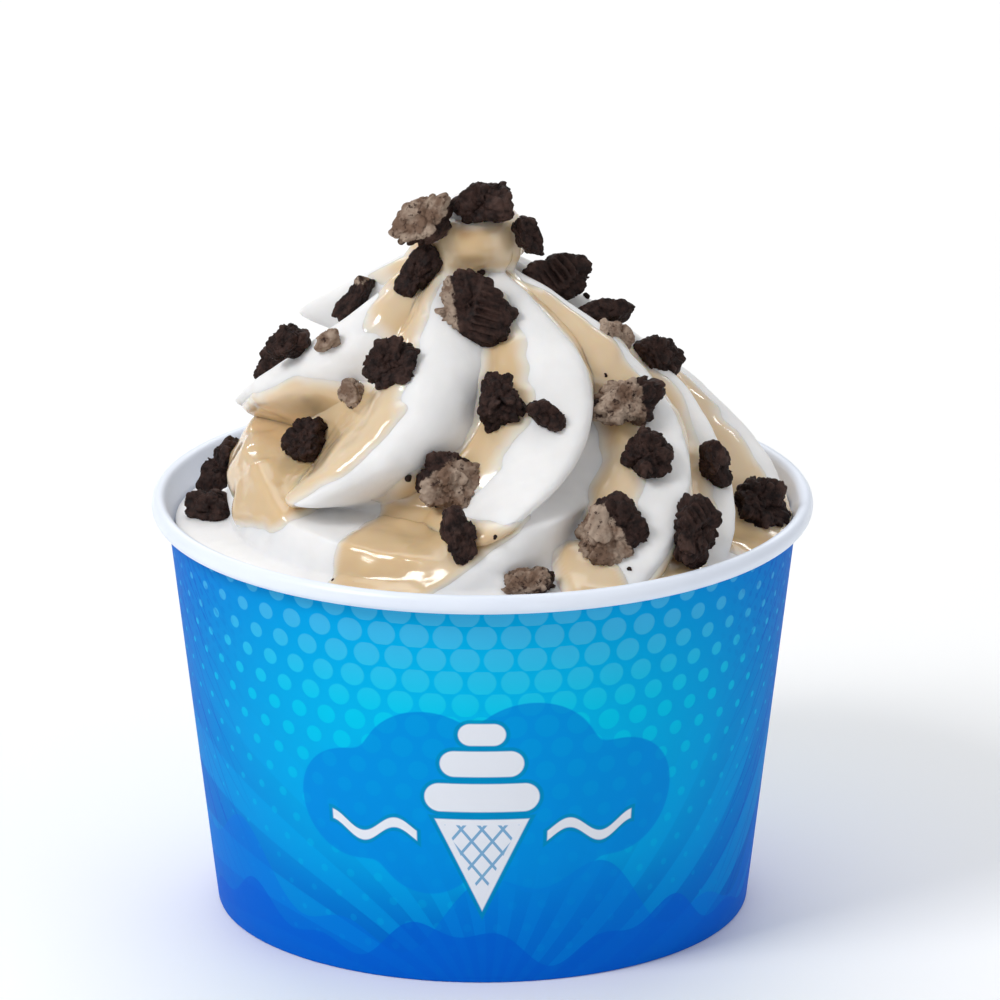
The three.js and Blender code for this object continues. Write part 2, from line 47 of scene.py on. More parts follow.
# The cup, as in the part
CUP_HEIGHT = 61.2
FOOT_RADIUS = 38.6
WALL_TOP_RADIUS = 45.5
WALL_THICKNESS = 0.7
RIM_RADIUS = 46.7
RIM_HALF_WIDTH = 1.1
RIM_HALF_HEIGHT = 1.4
HEM_THICKNESS = 1.5
BASE_RECESS = 3.0
BASE_THICKNESS = 0.9
GAP = 0.3
WALL_TOP = CUP_HEIGHT - 2 * RIM_HALF_HEIGHT

# The ice cream, as in the part
FILL_HEIGHT = 57.6
FILL_TILT = 1.6
PEAK_HEIGHT = 106.2
DOME_POWER = 1.45
NECK_SHARE = 0.25
NECK_FROM = 86
NECK_TO = 97
LEAN = -2.6
LEAN_FROM = 62
LEAN_TO = 88
TOP_LEAN = 1.3
TOP_LEAN_FROM = 91
TOP_LEAN_TO = 98
KNOB_RADIUS = 7.1
KNOB_HEIGHT = 98.2
KNOB_SQUASH = 0.9
KNOB_BLEND = 1.2
PINCH_SHARE = 0.42
PINCH_FROM = 93
PINCH_TO = 97
PINCH_AZIMUTH = 55
WALL_RISE = 1.2
MIDDLE = 80
TURN_SOFTNESS = 2.5
NOSE_LENGTH = 11
NOSE_START = -1.5
NOSE_FULL = 2.5
FADE_START = -3
FADE_END = 1
TOP_TURN_BACK = 1.3
TOP_TURN_FROM = 91.5
TOP_TURN_SOFTNESS = 1
CREST_POWER = 1.9
CREST_ROUNDING = 2
RIDGE_BLEND = 0.06


def ridge(at, turn, steady, foot, left, right, size=1.0, nose=1.0, top=None, back=TOP_TURN_BACK):
    widths = dict(left=left, right=right, nose=nose)
    return dict(at=at, turn=turn, steady=steady, back=back, foot=foot, top=top, size=size, **widths)


R0 = ridge(-119, 2.2, 86, 83.5, 22, 20, 1.28, 0.6)
R1 = ridge(-80, 3.2, 86, 70, 26, 34, 1, 0.6)
R2 = ridge(-18, 2.1, 82, 66.6, 27, 32, 1, 0.55, back=2.9)
R3 = ridge(34, 2.5, 84, 65, 30, 19, 1, 0.45, back=0.3)
R4 = ridge(36, 2.35, 84, 50, 13, 36, 0.85, top=71)
R5 = ridge(71, 2, 80, 50, 28, 15)
R6 = ridge(95.5, 2.1, 84, 50, 14, 14, 0.9)
R7 = ridge(126, 2.1, 84, 50, 18, 22, 1.06)
R8 = ridge(166, 2.1, 84, 52, 21, 21)
R9 = ridge(204, 2.1, 84, 66, 21, 21, 1, 0.45)
RIDGES = [R0, R1, R2, R3, R4, R5, R6, R7, R8, R9]

GROOVE_SHARE = 0.33
GROOVE_FULL_TO = 94
GROOVE_END = 100
GROOVE_FULL_FROM = 68
GROOVE_FOOT = 58
GROOVE_FOOT_SHARE = 0.5
LOWER_TURN_TOP = [[-180, 72], [-135, 76], [-95, 72], [-65, 70.5], [-45, 66.5]]
LOWER_TURN_TOP += [[0, 64], [20, 58], [60, 50], [140, 50], [180, 72]]
LOWER_TURN_INSET = [[-180, 5], [-120, 5.5], [-85, 4.8], [-50, 3.6], [-20, 2.6], [20, 2.4], [180, 5]]
LOWER_TURN_HOLLOW = [[-180, 3], [-120, 3.5], [-85, 3.2], [-60, 2], [-30, 0.5], [0, 0], [140, 0], [180, 3]]
HOLLOW_HEIGHT = 59.5
HOLLOW_FALL = 3
TURN_EDGE_START = -1.2
TURN_EDGE_END = 0.8
TURN_BACK_SHARE = 1.3
TURN_BLEND = 0.6

# The sauce, as in the part
SAUCE_THICKNESS = 1.2
SAUCE_EDGE = 1.9
SAUCE_WALL_START = -1
SAUCE_WALL_FULL = 1.2
RIBBON_CORNER = 1.6
RIBBON_BLEND = 0.8
LEAST_RADIUS = 4
WAVES = [(0.5, 0.55, 0.05), (0.35, -1.1, 0.13)]  # size, turn by height and turn by azimuth
WAVE_ACROSS = 0.5
WAVE_UP = 0.6
RISE_FROM = -67  # azimuth from which a ribbon's lower edge rises
# Ribbons: the edges they lie between (a crest and degrees from it), low, high and the lower edge's rise
RIBBONS = [
    ((R1, 8), (R2, 0), 64, 82.6, 0),
    ((R1, 5), (None, -58), 67.5, 77.5, 0),
    ((R2, -23), (R2, -3.5), 79, 98, 0),
    ((R1, 0), (R2, -3.5), 92.4, 98, -0.18),
    ((R0, 3), (R1, 15), 92.6, 98, 0),
    ((None, -71), (None, -45), 60.2, 74, 0.2),
    ((R2, 22), (R3, -14), 71, 98, 0),
    ((R2, 20), (R3, -13), 66, 76, 0),
    ((None, -31), (R4, 1), 50, 69, 0),
    ((R2, 14), (None, -6), 67.5, 74, 0),
    ((R3, 5), (R5, -3.5), 80, 98, 0),
    ((R5, -18.5), (R5, -9.5), 66, 82, 0),
    ((None, 15.5), (None, 28), 50, 64.5, 0),
    ((R5, 1), (R6, -3.5), 50, 88, 0),
    ((R6, 10), (R7, -4), 58, 78, 0),
    ((None, 58), (None, 92), 50, 61.8, 0),
    ((R7, 14), (R8, -3), 50, 98, 0),
    ((R8, 10), (R9, -6), 63, 98, 0),
    ((None, 150), (None, 186), 50, 66, 0),
    ((R9, 8), (R0, -14), 70, 98, 0),
]
KNOB_SAUCE_LOW = 95.8
KNOB_SAUCE_HIGH = 103.6
THIN_EDGE = 2.4  # millimetres in which the sauce thins out, finer than in the part
# Crevices where the sauce is painted deep brown as painted shade: azimuth, height and reach
SHADED_CREVICES = [(2, 66, 4.5), (45, 76.6, 4), (42, 59.6, 3), (57, 63.3, 3.5), (-29, 86.5, 2.5), (-9, 103.2, 2.8)]

# The cookie pieces, as in the part: name, at, look, turn, size, out
COOKIES = [
    ("top_left", (-59.5, 103), (-20, 20), 38, (11.2, 6.2, 5.1), 3.9),
    ("top", (23, 105.1), (0, 30), 12, (9.0, 7.1, 5.4), 2),
    ("top_right", (59, 101.3), (30, 10), 108, (7.2, 3.4, 4.0), 2.2),
    ("knob_left", (-53.5, 96), (-30, 25), 60, (8.8, 5.2, 3.8), 1.5),
    ("left_leaf", (-97.1, 89.5), (-35, 20), 68, (9.0, 3.5, 3.4), 1.4),
    ("left_high", (-75.6, 84.9), (-35, 25), 60, (5.6, 5.0, 4.3), 4.6),
    ("left_low", (-93.6, 79.6), (-35, 20), 28, (8.4, 5.6, 4.8), 2.6),
    ("left_chip", (-59.2, 87.4), (-35, 25), 52, (4.7, 2.8, 2.5), 0.8),
    ("front_left_high", (-27.1, 86.9), (-22, 25), 40, (8.7, 7.4, 4.8), 1.5),
    ("front_left_chip", (-46.7, 80.6), (-30, 25), -52, (5.6, 3.6, 3.0), 0.8),
    ("front_left_low", (-62.6, 72.9), (-35, 25), 34, (8.0, 6.5, 4.9), 1.6),
    ("wall_left_high", (-102.7, 62.1), (-45, 20), 68, (10.1, 4.8, 4.8), 3.6),
    ("wall_left_low", (-87.3, 58.6), (-40, 30), 10, (9.4, 5.3, 5.0), 1.6),
    ("big_wafer", (5.2, 92.2), (6, 30), -46, (13.6, 9.8, 4.7), 1.9),
    ("right_wafer", (101.2, 93.1), (30, 20), -8, (12.4, 6.8, 4.4), 2.2),
    ("right_slab", (94.7, 86.9), (35, 40), -8, (10.8, 3.5, 3.5), 2.6),
    ("right_cream", (79.8, 85.9), (35, 15), -22, (6.9, 5.1, 3.9), 2.9),
    ("right_corner", (99.5, 80.1), (45, 25), -18, (9.0, 6.2, 4.4), 1.8),
    ("middle_cream", (53.9, 80), (30, 22), -4, (11.4, 7.1, 5.1), 1.9),
    ("middle_block", (12.5, 81.8), (8, 22), 84, (8.6, 6.6, 5.0), 1.8),
    ("middle_crumb", (23.6, 80.7), (18, 22), -32, (6.6, 3.9, 3.4), 1.2),
    ("front_block", (-7.7, 71.9), (-4, 22), 0, (10.5, 8.9, 5.8), 2),
    ("front_wedge", (-4, 66.9), (-2, 15), -78, (9.7, 4.8, 4.3), 1.5),
    ("right_round", (46.9, 74.1), (32, 22), 50, (7.5, 6.6, 4.7), 1.7),
    ("front_right_cream", (29.3, 65.7), (20, 22), 42, (12.8, 9.5, 5.5), 1.9),
    ("front_rim", (9.2, 60.5), (6, 40), 0, (8.4, 4.8, 4.0), 0.4),
    ("far_right_high", (67.8, 69.5), (45, 15), -80, (8.2, 4.0, 3.9), 2.5),
    ("far_right_low", (45, 64.6), (40, 22), 66, (10.8, 7.2, 5.0), 2.3),
    ("wall_right", (78.2, 61.6), (42, 28), -16, (9.4, 7.8, 4.7), 0.9),
    ("back_high", (188, 96), (190, 30), 30, (9.4, 7.0, 4.8), 1.8),
    ("back_right_high", (150, 86.5), (152, 28), -40, (8.2, 6.4, 4.6), 1.7),
    ("back_left_high", (209, 79), (209, 28), 15, (10.4, 7.6, 4.8), 1.9),
    ("back_middle", (180, 78), (180, 28), -75, (9.0, 6.2, 4.8), 1.7),
    ("back_right_low", (140, 72), (142, 28), 35, (9.8, 7.4, 5.0), 1.9),
    ("back_left_low", (208, 68), (208, 28), -20, (8.6, 6.8, 4.8), 1.8),
    ("back_foot", (164, 63.5), (164, 35), 60, (8.2, 6.4, 4.6), 1.5),
    ("back_left_foot", (236, 62), (236, 35), 10, (9.0, 6.6, 4.8), 1.6),
]
COOKIE_CORNERS = 7
COOKIE_LAYERS = [(-1, 0.9), (0.1, 1.06), (1, 0.9)]
OUTLINE_POWER = 3
CORNER_DRIFT = 0.7
LEAST_REACH = 0.76
LEAST_LEVEL = 0.8
OUTWARD = 0.1  # millimetres that the crags stand out of the part's plain piece on average
FIRST_SEED = 11
SEED_STEP = 17
FIRST_CRAG_SEED = 40
FRONT_LEVEL = 6  # how often a piece's ball is divided
BACK_LEVEL = 5
HULL_SHARPNESS = 18.0  # how closely a piece follows its hull's edges
FULL_RELIEF = 7  # width of a piece from which its crags have their full height
WARP = 0.40
WARP_SIZE = 1.3
# Crumbs packed together: spacing, how uneven they are, how round they are and their share of the warp
CRUMB_KINDS = [(2.3, 1.15, 0.85, 1), (0.8, 0.42, 0.50, 0.5)]

# Pieces that show some of the cream that was between the wafers: the side it is on (right, away, up), how far
# it reaches from that side (1 covers half) and how pale it is
CREAM = {
    "top_left": ((-0.55, -0.3, 0.75), 1.15, 0.9),
    "left_leaf": ((-0.3, -0.2, 0.9), 0.45, 0.5),
    "left_chip": ((0.1, -0.9, 0.2), 1.5, 0.9),
    "front_left_chip": ((-0.3, -0.9, 0.3), 1.5, 1.0),
    "big_wafer": ((-0.95, -0.2, -0.05), 0.55, 1.0),
    "right_cream": ((0.1, -0.8, -0.3), 1.5, 0.7),
    "middle_cream": ((-0.75, -0.55, 0.0), 1.15, 0.9),
    "middle_block": ((0.3, -0.3, 0.9), 0.4, 0.5),
    "front_block": ((0.35, -0.9, -0.25), 0.95, 0.8),
    "front_right_cream": ((-0.75, -0.55, -0.35), 1.05, 0.8),
    "front_rim": ((-0.2, -0.6, 0.6), 0.9, 0.6),
    "back_high": ((0.3, 0.9, 0.2), 1.1, 0.8),
    "back_right_low": ((-0.4, 0.8, 0.2), 1.2, 0.9),
    "back_left_foot": ((0.3, 0.8, 0.4), 0.9, 0.8),
}
CREAM_EDGE = 0.25
# Pieces that show the wafer's embossed rim of short bars: where the bars' middle lies on the piece, the bars'
# direction in degrees from the piece's long side, their length and how many there are
EMBOSSED = {
    "big_wafer": ((1.9, 0.9), 26, 3.9, 9),
    "right_wafer": ((-1.3, 0.3), -52, 3.4, 6),
    "far_right_low": ((2.0, 0.8), 39, 2.6, 5),
    "back_left_high": ((0.0, 0.4), 60, 3.2, 6),
}
BAR_PITCH = 0.97
BAR_HEIGHT = 0.75
BAR_POWER = 0.7
BAR_MIDDLE = 0.6
CALM_REACH = 0.8  # millimetres round the bars in which the crags calm down
CALM_SHARE = 0.85

# ---- shape functions


def smoothstep(start, end, value):
    share = np.clip((value - start) / (end - start), 0, 1)
    return share * share * (3 - 2 * share)


def rounded_max(a, b, width):
    share = np.clip(0.5 + 0.5 * (a - b) / width, 0, 1)
    return b + (a - b) * share + width * share * (1 - share)


def soft_ramp(value, softness):
    return softness * np.log1p(np.exp(np.clip(value / softness, -40, 40)))


def turned(angle):
    return angle - 360 * np.floor((angle + 180) / 360)


def along(knots, place):
    knots = np.array(knots, float)
    return np.interp(place, knots[:, 0], knots[:, 1])


def fill_height(azimuth):
    return FILL_HEIGHT + FILL_TILT * np.cos(np.radians(azimuth))


def inner_wall_radius(height):
    return FOOT_RADIUS + (WALL_TOP_RADIUS - FOOT_RADIUS) * height / WALL_TOP - WALL_THICKNESS


def dome_radius(azimuth, height):
    foot = fill_height(azimuth)
    share = np.clip((height - foot) / (PEAK_HEIGHT - foot), 0, 1)
    neck = 1 - NECK_SHARE * smoothstep(NECK_FROM, NECK_TO, height)
    side = 0.5 + 0.5 * np.cos(np.radians(azimuth - PINCH_AZIMUTH))
    pinch = 1 - PINCH_SHARE * side * smoothstep(PINCH_FROM, PINCH_TO, height)
    dome = (inner_wall_radius(foot) - GAP) * (1 - share**DOME_POWER) * neck * pinch
    rise = np.maximum(height - KNOB_HEIGHT, 0) * KNOB_RADIUS / (PEAK_HEIGHT - KNOB_HEIGHT)
    fall = np.maximum(KNOB_HEIGHT - height, 0) * KNOB_SQUASH
    knob = np.sqrt(np.maximum(KNOB_RADIUS**2 - rise**2 - fall**2, 0))
    with_knob = np.where(height > KNOB_HEIGHT, knob, rounded_max(dome, knob, KNOB_BLEND))
    return np.where((height < KNOB_HEIGHT - KNOB_RADIUS) | (height >= PEAK_HEIGHT), dome, with_knob)


def crest_azimuth(r, height):
    straight = r["at"] + r["turn"] * (height - MIDDLE)
    steadied = straight - r["turn"] * soft_ramp(height - r["steady"], TURN_SOFTNESS)
    return steadied - r["back"] * soft_ramp(height - TOP_TURN_FROM, TOP_TURN_SOFTNESS)


def ridge_share(azimuth, height):
    share = np.zeros(np.broadcast(azimuth, height).shape)
    for r in RIDGES:
        away = turned(azimuth - crest_azimuth(r, height))
        taper = r["nose"] + (1 - r["nose"]) * smoothstep(r["foot"], r["foot"] + NOSE_LENGTH, height)
        width = np.where(away < 0, r["left"], r["right"]) * taper
        across = np.clip(np.hypot(away, CREST_ROUNDING) / width, 0, 1)
        strength = r["size"] * smoothstep(r["foot"] + NOSE_START, r["foot"] + NOSE_FULL, height)
        if r["top"]:
            strength = strength * (1 - smoothstep(r["top"] + FADE_START, r["top"] + FADE_END, height))
        share = rounded_max(share, np.cos(across * np.pi / 2) ** CREST_POWER * strength, RIDGE_BLEND)
    return share


def groove_depth(height):
    share = np.clip((height - FILL_HEIGHT) / (PEAK_HEIGHT - FILL_HEIGHT), 0, 1)
    dome = inner_wall_radius(FILL_HEIGHT) * (1 - share**DOME_POWER)
    upper = 1 - smoothstep(GROOVE_FULL_TO, GROOVE_END, height)
    lower = GROOVE_FOOT_SHARE + (1 - GROOVE_FOOT_SHARE) * smoothstep(GROOVE_FOOT, GROOVE_FULL_FROM, height)
    return GROOVE_SHARE * dome * upper * lower


def lower_turn_offset(azimuth, height):
    side = turned(azimuth)
    top = along(LOWER_TURN_TOP, side)
    share = 1 - smoothstep(top + TURN_EDGE_START, top + TURN_EDGE_END, height)
    fall = np.exp(-np.maximum(height - HOLLOW_HEIGHT, 0) / HOLLOW_FALL)
    inset = along(LOWER_TURN_INSET, side) + along(LOWER_TURN_HOLLOW, side) * fall
    return -inset * share - groove_depth(height) * TURN_BACK_SHARE * (1 - share)


def ice_cream_radius(azimuth, height):
    swirl = -groove_depth(height) * (1 - ridge_share(azimuth, height))
    offset = rounded_max(swirl, lower_turn_offset(azimuth, height), TURN_BLEND)
    rise = smoothstep(0, WALL_RISE, height - fill_height(azimuth))
    return np.maximum(dome_radius(azimuth, height) + offset * rise, 0)


def edge_azimuth(edge, height):
    r, offset = edge
    return crest_azimuth(r, height) + offset if r else offset + 0 * height


def sauce_depth(azimuth, height):
    millimetres = np.radians(1) * np.maximum(ice_cream_radius(azimuth, height), LEAST_RADIUS)
    wave = 0
    for size, by_height, by_azimuth in WAVES:
        wave = wave + size * np.sin(by_height * height + by_azimuth * azimuth)
    inside = np.minimum(height - KNOB_SAUCE_LOW, KNOB_SAUCE_HIGH - height) + 0 * azimuth
    for start, end, ribbon_low, high, rise in RIBBONS:
        after = turned(azimuth - edge_azimuth(start, height))
        before = turned(edge_azimuth(end, height) - azimuth)
        low = ribbon_low + rise * np.maximum(turned(azimuth - RISE_FROM), 0)
        across = np.minimum(after, before) * millimetres + WAVE_ACROSS * wave
        up = np.minimum(height - low, high - height) + WAVE_UP * wave
        inside = rounded_max(inside, -rounded_max(-across, -up, RIBBON_CORNER), RIBBON_BLEND)
    return inside


def sauce_thickness(azimuth, height):
    share = np.clip(sauce_depth(azimuth, height) / SAUCE_EDGE, 0, 1)
    at_wall = smoothstep(SAUCE_WALL_START, SAUCE_WALL_FULL, height - fill_height(azimuth))
    return SAUCE_THICKNESS * np.sqrt(1 - (1 - share) ** 2) * at_wall


def place(azimuth, height, radius):
    lean = LEAN * smoothstep(LEAN_FROM, LEAN_TO, height)
    lean = lean + TOP_LEAN * smoothstep(TOP_LEAN_FROM, TOP_LEAN_TO, height)
    angle = np.radians(azimuth)
    return np.stack([lean + radius * np.sin(angle), -radius * np.cos(angle), height + 0 * angle], -1)


def surface_point(azimuth, height):
    azimuth = np.array(float(azimuth))
    height = np.array(float(height))
    free = ice_cream_radius(azimuth, height) + sauce_thickness(azimuth, height)
    return place(azimuth, height, np.minimum(free, inner_wall_radius(height) - GAP))


NOISE_SHIFT = 31.7  # lumps that each seed moves the lattice
NOISE_AXIS_KEYS = np.array([73856093, 19349663, 83492791])
NOISE_SEED_KEY = 2654435761
NOISE_MIX_KEY = 1274126177


# Smooth noise from -1 to 1 on a lattice, with the size of a lump in millimetres.
def noise(points, lump, seed):
    scaled = np.asarray(points) / lump + NOISE_SHIFT * seed
    cell = np.floor(scaled).astype(np.int64)
    part = scaled - cell
    part = part * part * (3 - 2 * part)
    total = 0
    for corner in range(8):
        step = np.array([corner & 1, (corner >> 1) & 1, corner >> 2])
        key = (cell + step) @ NOISE_AXIS_KEYS + NOISE_SEED_KEY * (seed + 1)
        key = (key ^ (key >> 13)) * NOISE_MIX_KEY & 0xFFFFFFFF
        key = (key ^ (key >> 16)) & 0xFFFF
        weight = np.prod(np.where(step == 1, part, 1 - part), -1)
        total = total + weight * (key / 32767.5 - 1)
    return total


# Rounded crumbs packed together: how far each point lies from the middle of its crumb, as a share of the
# crumbs' spacing, and a number from 0 to 1 that is the same all over a crumb.
def crumb_field(points, spacing, seed):
    draw = np.random.default_rng(seed)
    low = points.min(0) - spacing
    high = points.max(0) + spacing
    count = int(np.prod((high - low) / spacing)) + 8
    middles = draw.uniform(low, high, (count, 3))
    tall = draw.uniform(0, 1, count)
    apart = ((points[:, None, :] - middles[None, :, :]) ** 2).sum(-1)
    nearest = apart.argmin(1)
    return np.sqrt(apart[np.arange(len(points)), nearest]) / spacing, tall[nearest]


# ---- mesh helpers


def link_object(name, data):
    obj = bpy.data.objects.new(name, data)
    bpy.context.scene.collection.objects.link(obj)
    return obj


def mesh_object(name, points, faces):
    mesh = bpy.data.meshes.new(name)
    mesh.from_pydata((np.asarray(points) * MM).tolist(), [], [list(face) for face in faces])
    mesh.update()
    mesh.shade_smooth()
    return link_object(name, mesh)


def add_attribute(obj, name, values):
    layer = obj.data.attributes.new(name, "FLOAT", "POINT")
    layer.data.foreach_set("value", np.asarray(values, np.float32).ravel())


# Faces between rings of points that close on themselves: rows x count points, lowest row first.
def ring_faces(rows, count):
    index = np.arange(rows * count).reshape(rows, count)
    after = np.roll(index, -1, axis=1)
    return np.stack([index[:-1], after[:-1], after[1:], index[1:]], -1).reshape(-1, 4)


def ride(obj, material, slot_name, *nodes):
    obj.data.materials.append(material)
    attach(obj, "root")
    if nodes:
        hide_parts(*nodes)


# ---- shader helpers


# The colour sockets of Blender's Mix node, which have the same names as its number sockets
MIX_A = 6
MIX_B = 7
MIX_RESULT = 2


class Shader:
    def __init__(self, name):
        self.material = bpy.data.materials.new(name)
        self.material.use_nodes = True
        self.tree = self.material.node_tree
        self.surface = self.tree.nodes["Principled BSDF"]

    def node(self, kind, **settings):
        made = self.tree.nodes.new(kind)
        for name, value in settings.items():
            setattr(made, name, value)
        return made

    def put(self, socket, value):
        if isinstance(value, bpy.types.NodeSocket):
            self.tree.links.new(value, socket)
        elif socket.type == "RGBA":
            socket.default_value = (*value[:3], 1)
        else:
            socket.default_value = value

    def math(self, operation, *values):
        made = self.node("ShaderNodeMath", operation=operation)
        for socket, value in zip(made.inputs, values):
            self.put(socket, value)
        return made.outputs[0]

    def add(self, a, b):
        return self.math("ADD", a, b)

    def times(self, a, b):
        return self.math("MULTIPLY", a, b)

    def subtract(self, a, b):
        return self.math("SUBTRACT", a, b)

    def length(self, a, b):
        return self.math("SQRT", self.add(self.times(a, a), self.times(b, b)))

    # A value's place in its cell of a pattern, from minus half the pitch to plus half of it.
    def in_cell(self, value, pitch):
        return self.subtract(self.math("FLOORED_MODULO", value, pitch), pitch / 2)

    def step(self, start, end, value):
        made = self.node("ShaderNodeMapRange", interpolation_type="SMOOTHSTEP")
        self.put(made.inputs["Value"], value)
        self.put(made.inputs["From Min"], min(start, end))
        self.put(made.inputs["From Max"], max(start, end))
        made.inputs["To Min"].default_value = float(end < start)
        made.inputs["To Max"].default_value = float(end > start)
        return made.outputs[0]

    def mix(self, share, a, b):
        made = self.node("ShaderNodeMix", data_type="RGBA")
        self.put(made.inputs[0], share)
        self.put(made.inputs[MIX_A], a)
        self.put(made.inputs[MIX_B], b)
        return made.outputs[MIX_RESULT]

    def texture(self, kind, output, **values):
        made = self.node(kind)
        self.put(made.inputs["Vector"], self.node("ShaderNodeTexCoord").outputs["Object"])
        for name, value in values.items():
            made.inputs[name].default_value = value
        return made.outputs[output]

    def noise(self, scale, detail, roughness=0.5, distortion=0.0):
        values = dict(Scale=scale, Detail=detail, Roughness=roughness, Distortion=distortion)
        return self.texture("ShaderNodeTexNoise", "Fac", **values)

    def cells(self, scale):
        return self.texture("ShaderNodeTexVoronoi", "Distance", Scale=scale)

    def attribute(self, name):
        return self.node("ShaderNodeAttribute", attribute_name=name).outputs["Fac"]

    def bump(self, height, distance, strength):
        made = self.node("ShaderNodeBump")
        self.put(made.inputs["Height"], height)
        made.inputs["Distance"].default_value = distance
        made.inputs["Strength"].default_value = strength
        return made.outputs[0]

    def set(self, **values):
        for name, value in values.items():
            self.put(self.surface.inputs[name.replace("_", " ")], value)
        return self.material


# ---- materials


def ice_cream_material():
    s = Shader("soft_ice_cream")
    colour = s.mix(s.step(0.35, 0.7, s.noise(90, 3, 0.6)), (0.82, 0.815, 0.815), (0.88, 0.875, 0.875))
    grain = s.noise(1500, 3, 0.6)
    streaks = s.noise(420, 2, distortion=0.4)
    gloss = s.step(0.2, 0.9, s.noise(300, 2))
    return s.set(
        Base_Color=colour,
        Roughness=s.add(s.times(gloss, 0.16), 0.42),
        Normal=s.bump(s.add(s.times(grain, 0.35), streaks), 0.00022, 0.35),
        Subsurface_Weight=0.35,
        Subsurface_Radius=(1.0, 0.85, 0.7),
        Subsurface_Scale=0.0016,
        Specular_IOR_Level=0.35,
    )


# One attribute makes the sauce darker and browner where it lies thick in grooves and hollows, and adds
# painted shade in them. "thin" says where the ice cream shines through.
def sauce_material():
    s = Shader("caramel_sauce")
    mottle = s.times(s.add(s.noise(160, 2), -0.5), 0.30)
    # Painted shade, partly real thick sauce: the sauce turns darker, then deep brown, in its grooves, hollows
    # and crevices.
    share = s.add(s.attribute("tint_and_shade"), mottle)
    light = s.mix(s.step(0.0, 0.5, share), (0.75, 0.60, 0.415), (0.69, 0.505, 0.295))
    colour = s.mix(s.step(0.55, 1.15, share), light, (0.42, 0.195, 0.04))
    colour = s.mix(s.times(s.attribute("thin"), 0.72), colour, (0.87, 0.845, 0.80))
    gloss = s.step(0.3, 0.8, s.noise(120, 1))
    return s.set(
        Base_Color=colour,
        Roughness=s.add(s.times(gloss, 0.08), 0.10),
        Normal=s.bump(s.noise(260, 1, 0.4), 0.0006, 0.30),
        Subsurface_Weight=0.5,
        Subsurface_Radius=(1.0, 0.6, 0.25),
        Subsurface_Scale=0.0018,
        Specular_IOR_Level=0.5,
        Coat_Weight=0.45,
        Coat_Roughness=0.10,
    )


# The attribute "cream" says where cream sticks to a piece, and "edge" where its crumbs stand out. There,
# painted light makes them paler, and the chinks between them stay darker as painted shade.
def cookie_material():
    s = Shader("dark_cookie")
    speckle = s.noise(900, 4, 0.7)
    coarse = s.noise(330, 3, 0.6)
    dark = s.mix(s.step(0.35, 0.68, speckle), (0.008, 0.0035, 0.003), (0.040, 0.019, 0.015))
    dark = s.mix(s.times(s.step(0.5, 0.75, coarse), 0.6), dark, (0.062, 0.032, 0.025))
    # Painted light: paler where crumbs and bars stand out.
    dark = s.mix(s.times(s.attribute("edge"), 0.5), dark, (0.085, 0.046, 0.036))
    smear = s.mix(s.step(0.38, 0.62, coarse), (0.17, 0.105, 0.072), (0.38, 0.29, 0.225))
    smear = s.mix(s.step(0.56, 0.66, speckle), smear, (0.045, 0.024, 0.018))
    ragged = s.times(s.add(s.noise(620, 3, 0.7), -0.5), 0.9)
    on_cream = s.step(0.42, 0.60, s.add(s.attribute("cream"), ragged))
    pits = s.cells(1100)
    return s.set(
        Base_Color=s.mix(on_cream, dark, smear),
        Roughness=s.add(s.times(speckle, 0.35), 0.42),
        Normal=s.bump(s.add(s.times(speckle, 0.7), s.times(pits, 0.5)), 0.0005, 0.7),
        Specular_IOR_Level=0.16,
    )


def board_material():
    s = Shader("white_coated_board")
    fibres = s.noise(700, 3, 0.6)
    return s.set(
        Base_Color=s.mix(s.step(0.3, 0.7, s.noise(60, 2)), (0.79, 0.85, 0.97), (0.83, 0.89, 1.0)),
        Roughness=s.add(s.times(fibres, 0.12), 0.26),
        Normal=s.bump(fibres, 0.0001, 0.12),
        Specular_IOR_Level=0.45,
    )


PANEL = 180  # degrees: the print repeats round the cup
ARC = 0.733  # millimetres to a degree, at the wall's middle
PRINT_HEIGHT = 60  # millimetres that the print's map is high
PRINT_EDGE = 0.12  # millimetres of softness at the print's edges
RAYS_BELOW = 6  # how far the rays' middle lies below the table
DOT_PITCH_X = 4.5
DOT_PITCH_Y = 3.5
TINY_PITCH = 1.9
HATCH_PITCH = 3.0
LAP_AZIMUTH = 164  # where the board's lap joint is
CLOUD = [(-19, 27, 8.5), (-8, 33, 9.5), (7, 34, 10.0), (20, 28, 9.0), (9, 23, 9.0), (-8, 22, 8.0)]
SCOOPS = [(29.3, 6.0, 2.2), (34.6, 3.9, 2.0), (39.2, 1.6, 1.7)]


